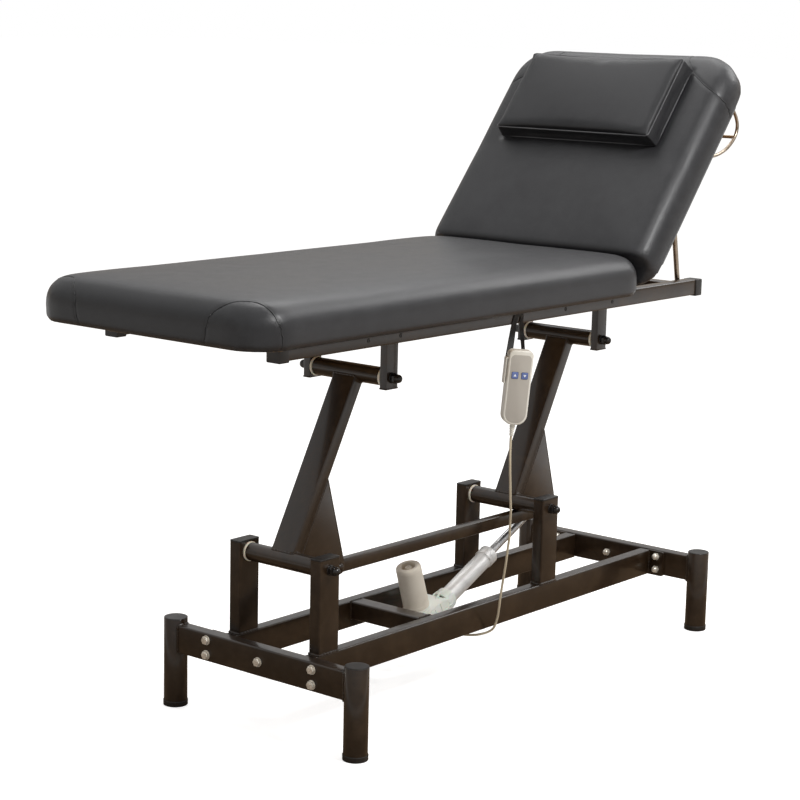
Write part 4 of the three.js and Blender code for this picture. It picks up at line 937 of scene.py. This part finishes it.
print("piston's eye in mm:", [round(value, 1) for value in eye_place])

# %% [markdown]
# The top frame carries the padded top. Its two rails are box tube with plastic end sleeves. Each
# hanger is a cross tube with two brackets that reach down to the upper pivots.

# %% Top rails and end sleeves
rail_foot_x, rail_head_x = [corner.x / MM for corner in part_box("near_top_rail")]
rail_middle = (rail_foot_x + rail_head_x) / 2
top_rail_y = 216.4
top_rail_z = 831
for name, side in near_and_far:
    y = side * top_rail_y
    tube = placed(hollow_tube((rail_head_x - rail_foot_x, 30, 36), 3, 2, 60), at(rail_middle, y, top_rail_z))
    finished(f"{name}_top_tube", tube, paint, "top", [f"{name}_top_rail"])
    sleeves = []
    for x in (rail_foot_x + 9.65, rail_head_x - 9.65):
        sleeve = bar((24.7, 35.4, 38.8), 0, 2.6, 3)
        along = set(edges_along(sleeve, 0))
        bevel(sleeve, [edge for edge in sleeve.edges if edge not in along], 0.8, 2)
        sleeves.append(placed(sleeve, at(x, y, 829.7)))
    nodes = [f"{end}_{name}_rail_cap" for end in ends]
    finished(f"{name}_rail_sleeves", joined(sleeves), black_plastic, "top", nodes)
studs = []
for x in (388.2, 209.7, -347.8, -444.8):
    for side in sides:
        stud = turned([(0, 0), (4.4, 0), (4.4, 0.5), (3.8, 0.9), (2.2, 0.9), (1.8, 0.3), (0, 0.3)], 24)
        studs.append(placed(stud, at(x, side * (top_rail_y + 15), 828) @ facing("Y", side)))
finished("rail_hole_plugs", joined(studs), black_plastic, "top")


# %% Hangers and head cross tube
def cross_tube():
    """A tube between the rails, with a bead of weld at each end."""
    parts = [bar((40, 402.2, 30), 1, 3)]
    for side in sides:
        bead = weld(around(40, 30, 3), 2.1)
        parts.append(placed(bead, at(0, side * 200.4, 0) @ turn(90, "X")))
    return parts


bracket_y = 104.3
hanger_z = 830
for end in ends:
    x = centre_of(f"{end}_hanger").x
    parts = cross_tube()
    for side in sides:
        parts.append(placed(bar((38, 18, 130), 2, 2.6), at(0, side * bracket_y, -71)))
        foot = bar((40, 20, 3.2), 2, 3)
        bevel(foot, flat_rims(foot), 0.8, 2)
        parts.append(placed(foot, at(0, side * bracket_y, -137.4)))
        parts.append(placed(weld(around(38, 18, 2.6), 2.1), at(0, side * bracket_y, -15.6)))
    hanger = placed(joined(parts), at(x, 0, hanger_z))
    finished(f"{end}_hanger_weldment", hanger, paint, "top", [f"{end}_hanger"])
x = centre_of("head_cross_tube").x
finished("head_tube", placed(joined(cross_tube()), at(x, 0, hanger_z)), paint, "top", ["head_cross_tube"])
hinge = centre_of("hinge_rod")
rod = turned([(0, -203.4), (7.4, -203.4), (8, -202.8), (8, 202.8), (7.4, 203.4), (0, 203.4)])
finished("backrest_hinge_rod", placed(rod, at(*hinge) @ turn(90, "X")), zinc, "top", ["hinge_rod"])

# %% [markdown]
# Behind the backrest a bent rod props it up, and a wire bar holds a paper roll. Both are drawn as
# smooth lines and swept, because a bent rod has no corners.

# %% Stay and paper roll bar
stay_place = at(720.22, 0, 831) @ turn(-100.8, "Y")
stay_corners = [
    (0, -203.4, 0), (0, -190, 0), (284, -190, 0), (284, 190, 0), (0, 190, 0), (0, 203.4, 0),
]
stay_line = rounded_corners(stay_corners, [11.4, 22, 22, 11.4], 10)
stay = placed(swept(stay_line, 6, 20), stay_place)
finished("prop_rod", stay, drawn_wire, "stay", ["back_stay"], angle=60)

back_place = at(*hinge) @ turn(-50.4, "Y")
loop = [
    (398, 16.8), (399, 8), (412, -14), (437, -36), (468, -53), (502, -60), (526, -52), (538, -32),
    (541, -8), (539.5, 8), (539, 16.8),
]
wire_y = 275
parts = [swept([(502, -wire_y, -60), (502, wire_y, -60)], 4, 14)]
for side in sides:
    parts.append(swept(smooth_line([(t, side * wire_y, n) for t, n in loop]), 4, 14))
    for t in (398, 539):
        tab = turned([(0, 0), (10.4, 0), (11, 0.5), (11, 2), (10.4, 2.5), (0, 2.5)], 32)
        parts.append(placed(tab, at(t, side * wire_y, 15.5)))
wire = placed(joined(parts), back_place)
finished("paper_roll_wire", wire, drawn_wire, "backrest", ["paper_roll_bar"], angle=60)

# %% [markdown]
# The hand control is a two-shell plastic box with a grey face panel and two blue keys. It hangs by a
# strap from the near rail. It is drawn upright, with its face to -Y, and one matrix hangs it in place.

# %% Hand control shell
hand = at(-1.775, -262, 688) @ turn(-50.4, "Z") @ turn(4.6, "Y") @ turn(12, "Z")


def control_outline(inset, lower=0):
    """The outline of the hand control, drawn in by an inset, and lower at its top."""
    x, z = 26.5 - inset, 79 - inset
    top, low = 12 - inset / 2, 22 - inset / 2
    return [
        *arc(x - top, z - top - lower, top, 0, 80, 8), *arc(top - x, z - top - lower, top, 100, 180, 8),
        *arc(low - x, low - z, low, 180, 270, 10), *arc(x - low, low - z, low, 270, 360, 10),
    ]


def shell_half(outer, parting):
    """Half a shell: its outer rim is rounded well, and its parting rim only a little."""
    shape = slab(control_outline(0), min(outer, parting), abs(outer - parting))
    for level, offset, segments in ((outer, 4.2, 6), (parting, 0.35, 2)):
        rims = [
            edge for edge in shape.edges
            if all(abs(vertex.co.y - level * MM) < 1e-6 for vertex in edge.verts)
        ]
        bevel(shape, rims, offset, segments)
    return shape


clip = [
    (-31.5, 8), (-31.2, 7.4), (-30, 7.4), (-29.5, 8), (-29.5, 58.5), (-28.6, 59.8), (-25, 60),
    (-25, 62), (-29.4, 62), (-31, 61.2), (-31.5, 59.6),
]
parts = [shell_half(-12.5, -0.3), shell_half(12.5, 0.1), plate(clip, -8.5, 17)]
finished("control_shell", placed(joined(parts), hand), cream, "top", ["handset_shell"], angle=30)

# %% Face panel and keys
panel = plate(control_outline(4.4, 5.5), -12.75, 1.6, 0.3)
finished("control_panel", placed(panel, hand), panel_grey, "top", ["handset_face"])
# A thin dark sheet behind each key shows as a dark rim round it: painted shade in the gap between key and
# panel.
gap_shades = [placed(bar((15, 0.5, 15), 1, 2.4, 5), at(x, -12.65, 26)) for x in (-10.5, 10.5)]
finished("key_gaps", placed(joined(gap_shades), hand), black_plastic, "top")
for node, x, up in (("up_button", -10.5, 1), ("down_button", 10.5, -1)):
    key = bar((14, 4.6, 14), 1, 2.2, 5)
    bevel(key, [e for e in key.edges if all(v.co.y < -2.2 * MM for v in e.verts)], 0.9, 3)
    body = "up_key" if up > 0 else "down_key"
    place = hand @ at(x, -11.8, 26)
    finished(f"{node}_key", placed(key, place), button_blue, body, [node])
    mark = plate([(-3.2, -2.2 * up), (3.2, -2.2 * up), (0, 3.0 * up)][::up], -2.46, 0.5, 0.1)
    finished(f"{node}_mark", placed(mark, place), mark_white, body)

# %% Strain relief and strap
relief = [(0, -104), (3.4, -104), (4, -103.2)]
for k in range(4):
    low = -101.6 + 5.4 * k
    wide = 4.3 + 0.55 * k
    relief += [(wide, low), (wide + 0.2, low + 2.8), (wide - 0.7, low + 3.2), (wide - 0.6, low + 4.8)]
relief += [(6.6, -80), (6.6, -78.6), (0, -78.6)]
finished("ribbed_sleeve", placed(turned(relief, 32), hand), cream, "top", ["strain_relief"])


def band(points, outs, width, thickness):
    """A flat strap along points: each direction in outs is the way its face looks."""
    line = smooth_line(points)
    looks = smooth_line(outs)
    shape = bmesh.new()
    rows = []
    for k, (point, look) in enumerate(zip(line, looks)):
        run = (line[min(k + 1, len(line) - 1)] - line[max(k - 1, 0)]).normalized()
        across = run.cross(look).normalized() * width / 2
        rows.append([shape.verts.new((point + across * s) * MM) for s in (-1, -0.94, -0.5, 0, 0.5, 0.94, 1)])
    for first, second in zip(rows, rows[1:]):
        for a, b, c, d in zip(first, first[1:], second[1:], second):
            shape.faces.new((a, b, c, d))
    bmesh.ops.recalc_face_normals(shape, faces=shape.faces)
    bmesh.ops.solidify(shape, geom=list(shape.faces), thickness=thickness * MM)
    return shape


strap = [
    band(
        [(29, -233.4, 832), (20, -234, 812), (12, -236, 791), (3, -239, 770), (-4, -242, 759),
         (-9, -244, 749)],
        [(0, -1, 0), (-0.2, -1, 0), (-0.4, -0.9, 0), (-0.6, -0.8, 0), (-0.7, -0.7, 0), (-0.7, -0.7, 0)],
        14, 1.2,
    ),
    band(
        [(49, -233.4, 832), (44, -236, 812), (35, -244, 795), (24, -254, 779), (13, -264, 765)],
        [(0, -1, 0), (-0.3, -1, 0), (-0.8, -0.7, 0), (-1, -0.2, 0), (-1, -0.2, 0)],
        9, 1.2,
    ),
    band([(22, -233.2, 831), (37, -233.6, 832.5), (53, -233.2, 831)], [(0, -1, 0)] * 3, 9, 1.3),
]
finished("hanging_strap", joined(strap), webbing, "top", ["handset_strap"])

# %% [markdown]
# Upholstery. A clinic cushion is firm foam on plywood under tightly pulled leather, so its form is
# a slab with a crowned top and full, rounded sides. Remeshing the CAD form gives an even skin, and
# a short cloth simulation with pressure inside lets that skin swell and settle as leather does.
# The swell is capped, and it is smaller still where a neighbour is close.


# %% Padded pieces
def apply_all(piece):
    """Bakes a piece's modifiers into its mesh."""
    graph = bpy.context.evaluated_depsgraph_get()
    baked = bpy.data.meshes.new_from_object(piece.evaluated_get(graph))
    old = piece.data
    piece.modifiers.clear()
    piece.data = baked
    bpy.data.meshes.remove(old)


def points_of(piece):
    """A mesh's points as an array."""
    points = np.empty(len(piece.data.vertices) * 3)
    piece.data.vertices.foreach_get("co", points)
    return points.reshape(-1, 3)


def set_points(piece, points):
    """Moves a mesh's points to the places in an array."""
    piece.data.vertices.foreach_set("co", points.ravel())
    piece.data.update()


def even_skin(name, shape, voxel, rounds):
    """A piece with an even mesh over a shape, smoothed a few rounds."""
    piece = linked(name, shape)
    remesh = piece.modifiers.new("even", "REMESH")
    remesh.mode = "VOXEL"
    remesh.voxel_size = voxel * MM
    smooth = piece.modifiers.new("smooth", "SMOOTH")
    smooth.factor = 0.5
    smooth.iterations = rounds
    apply_all(piece)
    return piece


def cushion_skin(name, node, voxel, place, ceiling, lip, under):
    """An even skin over a CAD cushion without its board's pocket, flat at a height under it."""
    shape = bmesh.new()
    shape.from_mesh(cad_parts[node].data)
    bmesh.ops.remove_doubles(shape, verts=shape.verts, dist=1e-5)
    placed(shape, place.inverted())
    pocket = [vertex for vertex in shape.verts if abs(vertex.co.z / MM - ceiling) < 0.2]
    bmesh.ops.delete(shape, geom=pocket, context="VERTS")
    bmesh.ops.holes_fill(shape, edges=shape.edges, sides=0)
    for vertex in shape.verts:
        if vertex.co.z / MM < lip + 0.3:
            vertex.co.z = under * MM
    bmesh.ops.recalc_face_normals(shape, faces=shape.faces)
    piece = even_skin(name, shape, voxel, 5)
    piece.data.transform(place)
    return piece


def level_under(piece, place, under):
    """Presses a cushion's underside flat on its board."""
    to_place = np.array(place.inverted())
    back = np.array(place)
    looks_down = -0.55
    near_board = (under + 3.5) * MM
    normals = np.empty(len(piece.data.vertices) * 3)
    piece.data.vertex_normals.foreach_get("vector", normals)
    local = points_of(piece) @ to_place[:3, :3].T + to_place[:3, 3]
    down = (normals.reshape(-1, 3) @ to_place[:3, :3].T)[:, 2] < looks_down
    local[down & (local[:, 2] < near_board), 2] = under * MM
    local[:, 2] = np.maximum(local[:, 2], under * MM)
    set_points(piece, local @ back[:3, :3].T + back[:3, 3])


def evened(piece, moved):
    """Moves of points, averaged with their neighbours' moves, so only the large form is left."""
    pairs = np.empty(len(piece.data.edges) * 2, dtype=int)
    piece.data.edges.foreach_get("vertices", pairs)
    one, two = pairs.reshape(-1, 2).T
    rounds = 12
    for _ in range(rounds):
        total, count = moved.copy(), np.ones(len(moved))
        for a, b in ((one, two), (two, one)):
            np.add.at(total, a, moved[b])
            np.add.at(count, a, 1)
        moved = total / count[:, None]
    return moved


def skin_tree(piece):
    """A search tree of a skin."""
    shape = bmesh.new()
    shape.from_mesh(piece.data)
    shape.normal_update()
    tree = BVHTree.FromBMesh(shape)
    shape.free()
    return tree


def swell(piece, cap, neighbours, place=None, under=0):
    """Blows a skin up a little with a cloth simulation, then holds each point within its cap."""
    still_height, full_height = 3, 17
    share_of_gap = 0.35
    start = points_of(piece)
    allowed = np.full(len(start), cap * MM)
    if place:
        to_place = np.array(place.inverted())
        above = (start @ to_place[2, :3] + to_place[2, 3]) / MM - under
        allowed *= np.clip((above - still_height) / (full_height - still_height), 0, 1)
    for neighbour in neighbours:
        tree = skin_tree(neighbour)
        for index, point in enumerate(start):
            distance = tree.find_nearest(Vector(point), 2 * cap * MM)[3]
            if distance is not None:
                allowed[index] = min(allowed[index], share_of_gap * distance)
    cloth = piece.modifiers.new("cloth", "CLOTH").settings
    stiffness = {"tension": 22, "compression": 22, "shear": 8, "bending": 6}
    for kind, value in stiffness.items():
        setattr(cloth, kind + "_stiffness", value)
    cloth.quality = 5
    cloth.mass = 0.4
    cloth.use_pressure = True
    cloth.uniform_pressure_force = 4.0
    cloth.effector_weights.gravity = 0
    settled_at = 20
    for number in range(1, settled_at + 1):
        scene.frame_set(number)
    apply_all(piece)
    scene.frame_set(1)
    moved = evened(piece, points_of(piece) - start)
    length = np.linalg.norm(moved, axis=1)
    share = np.minimum(1, allowed / np.maximum(length, 1e-9))
    set_points(piece, start + moved * share[:, None])
    largest = round(float((length * share).max() / MM), 2)
    print(piece.name, "points", len(start), "largest swell in mm", largest)


def pillow_skin():
    """The pillow's skin: a box whose corners stand out, sides pull in and top is full."""
    piece = even_skin("head_pillow_leather", block(pillow_size), 5, 3)
    points = points_of(piece)
    share = points / (np.array(pillow_size) * MM / 2)
    edge = np.abs(share) ** 8
    inward = 3.5 * MM * (1 - share[:, [1, 0]] ** 2)
    points[:, :2] -= np.sign(share[:, :2]) * edge[:, :2] * inward
    taper = 7 * MM * ((share[:, 2] + 1) / 2) ** 2
    points[:, 1] -= np.sign(points[:, 1]) * edge[:, 1] * taper
    puff = 4 * MM * (1 - share[:, 0] ** 2) * (1 - share[:, 1] ** 2)
    points[:, 2] += np.where(share[:, 2] > 0, puff, 0) * np.abs(share[:, 2])
    set_points(piece, points)
    piece.data.transform(back_place @ at(452, 8, 104.6 + pillow_size[2] / 2))
    return piece


# %% Seat, backrest and pillow
level = Matrix.Identity(4)
seat_under = 849.6
back_under = 18.7
pillow_size = (225, 440, 43)
seat = cushion_skin(
    "seat_cushion_leather", "seat_cushion", 9, level, ceiling=864.6, lip=851, under=seat_under,
)
backrest = cushion_skin(
    "backrest_cushion_leather", "back_cushion", 8, back_place, ceiling=33.6, lip=20, under=back_under,
)
head_pillow = pillow_skin()
swell(seat, 5, [backrest], level, seat_under)
swell(backrest, 5, [seat, head_pillow], back_place, back_under)
swell(head_pillow, 6, [backrest])
for piece in (seat, backrest, head_pillow):
    finer = piece.modifiers.new("finer", "SUBSURF")
    finer.levels = 1
    finer.render_levels = 1
    apply_all(piece)
level_under(seat, level, seat_under)
level_under(backrest, back_place, back_under)

# %% [markdown]
# Leather can't be stretched round a corner in one piece, so the maker sews an arched patch into
# each outer corner. The seam sinks a little into the foam, a folded lip shows in the groove, and
# a row of stitches runs on the main panel just outside it. The line is drawn near the cushion in
# a few points, laid on the skin, and the skin is then drawn in along it.


# %% Seams
def laid(line, tree):
    """A line in millimetres laid on a skin, with the skin's direction out at each point."""
    hits = [tree.find_nearest(point * MM) for point in line]
    return [hit[0] / MM for hit in hits], [hit[1] for hit in hits]


def draw_in(piece, lines, width, depth):
    """Draws a skin in along lines, deepest on the line and nothing at its width."""
    points = [point for line in lines for point in line]
    tree = KDTree(len(points))
    for index, point in enumerate(points):
        tree.insert(point * MM, index)
    tree.balance()
    data = piece.data
    normals = [vertex.normal.copy() for vertex in data.vertices]
    for vertex, normal in zip(data.vertices, normals):
        distance = tree.find(vertex.co)[2] / MM
        if distance < width:
            vertex.co -= normal * depth * MM * (1 - distance / width) ** 2
    data.update()


def stitches(line, normals, side):
    """A row of thread stitches beside a seam."""
    spacing, length, radius, lift = 5.5, 3.4, 0.45, 0.15
    places, outs = even(line, spacing, normals)
    rows = []
    for before, place, after, out in zip(places, places[1:], places[2:], outs[1:]):
        run = (after - before).normalized()
        across = out.cross(run).normalized()
        stitch = bmesh.new()
        bmesh.ops.create_icosphere(stitch, subdivisions=1, radius=radius * MM)
        bmesh.ops.scale(stitch, vec=(length / radius / 2, 1, 1), verts=stitch.verts)
        axes = Matrix((run, across, out)).transposed().to_4x4()
        rows.append(placed(stitch, at(*(place + across * side + out * lift)) @ axes))
    return rows


foot_seam = [
    (-827, -165, 853), (-836, -172, 876), (-834, -175, 900), (-825, -183.5, 916), (-809.5, -200, 928),
    (-789, -220, 934), (-779, -248, 934), (-779, -278, 928), (-777, -299, 911), (-772, -309, 889),
    (-767, -309, 862), (-767, -300, 852),
]
head_seam = [
    (626, -165, 22), (636, -172, 50), (627, -176, 82), (597, -183, 100), (559, -210, 104),
    (534, -241, 104), (514, -272, 99), (505, -298, 86), (501, -311, 59), (496, -312, 38), (492, -300, 24),
]


def corner_seams(name, piece, path, body):
    """The groove, folded lip and stitches of a cushion's two corner patches."""
    groove_width, groove_depth = 7, 1.6
    lip_radius, lip_rise, stitch_gap = 0.9, 0.2, 4.2
    paths = [smooth_line([(x, side * y, z) for x, y, z in path], 10) for side in (1, -1)]
    tree = skin_tree(piece)
    draw_in(piece, [laid(path, tree)[0] for path in paths], groove_width, groove_depth)
    tree = skin_tree(piece)
    lips, threads = [], []
    for path, side in zip(paths, sides):
        line, normals = laid(path, tree)
        lips.append(swept([p + n * lip_rise for p, n in zip(line, normals)], lip_radius, 8))
        threads += stitches(line, normals, stitch_gap * side)
    finished(name + "_seam_lips", joined(lips), seam_leather, body, angle=80)
    finished(name + "_stitches", joined(threads), thread, body, angle=80)


head_line = [tuple(back_place @ (Vector(point) * MM) / MM) for point in head_seam]
corner_seams("seat_foot", seat, foot_seam, "top")
corner_seams("backrest_head", backrest, head_line, "backrest")

# %% [markdown]
# The pillow is a box cushion: two panels joined by a gusset, with a piped edge along both seams.
# The piping follows a rounded rectangle at each seam's height, laid on the skin.

# %% Pillow piping
pillow_place = back_place @ Matrix.Translation(back_place.inverted() @ (centre_of("pillow") * MM))
pillow_tree = skin_tree(head_pillow)
edge_line = around(pillow_size[0] - 6, pillow_size[1] - 6, 16, 6)[:-1]
piping = []
for height, proud in ((19.5, 0.3), (-19, -1)):
    wanted = [(pillow_place @ at(point.x, point.y, height)).translation / MM for point in edge_line]
    line = [place + out * proud for place, out in zip(*laid(wanted, pillow_tree))]
    piping.append(swept(line, 1.7, 10, closed=True))
finished("pillow_piping", joined(piping), piping_highlight_leather, "backrest", angle=80)

# %% Give the three cushions their leather
for piece, node, body, hide_finish in (
    (seat, "seat_cushion", "top", leather),
    (backrest, "back_cushion", "backrest", leather),
    (head_pillow, "pillow", "backrest", pillow_shaded_leather),
):
    dressed(piece, hide_finish, body, [node])
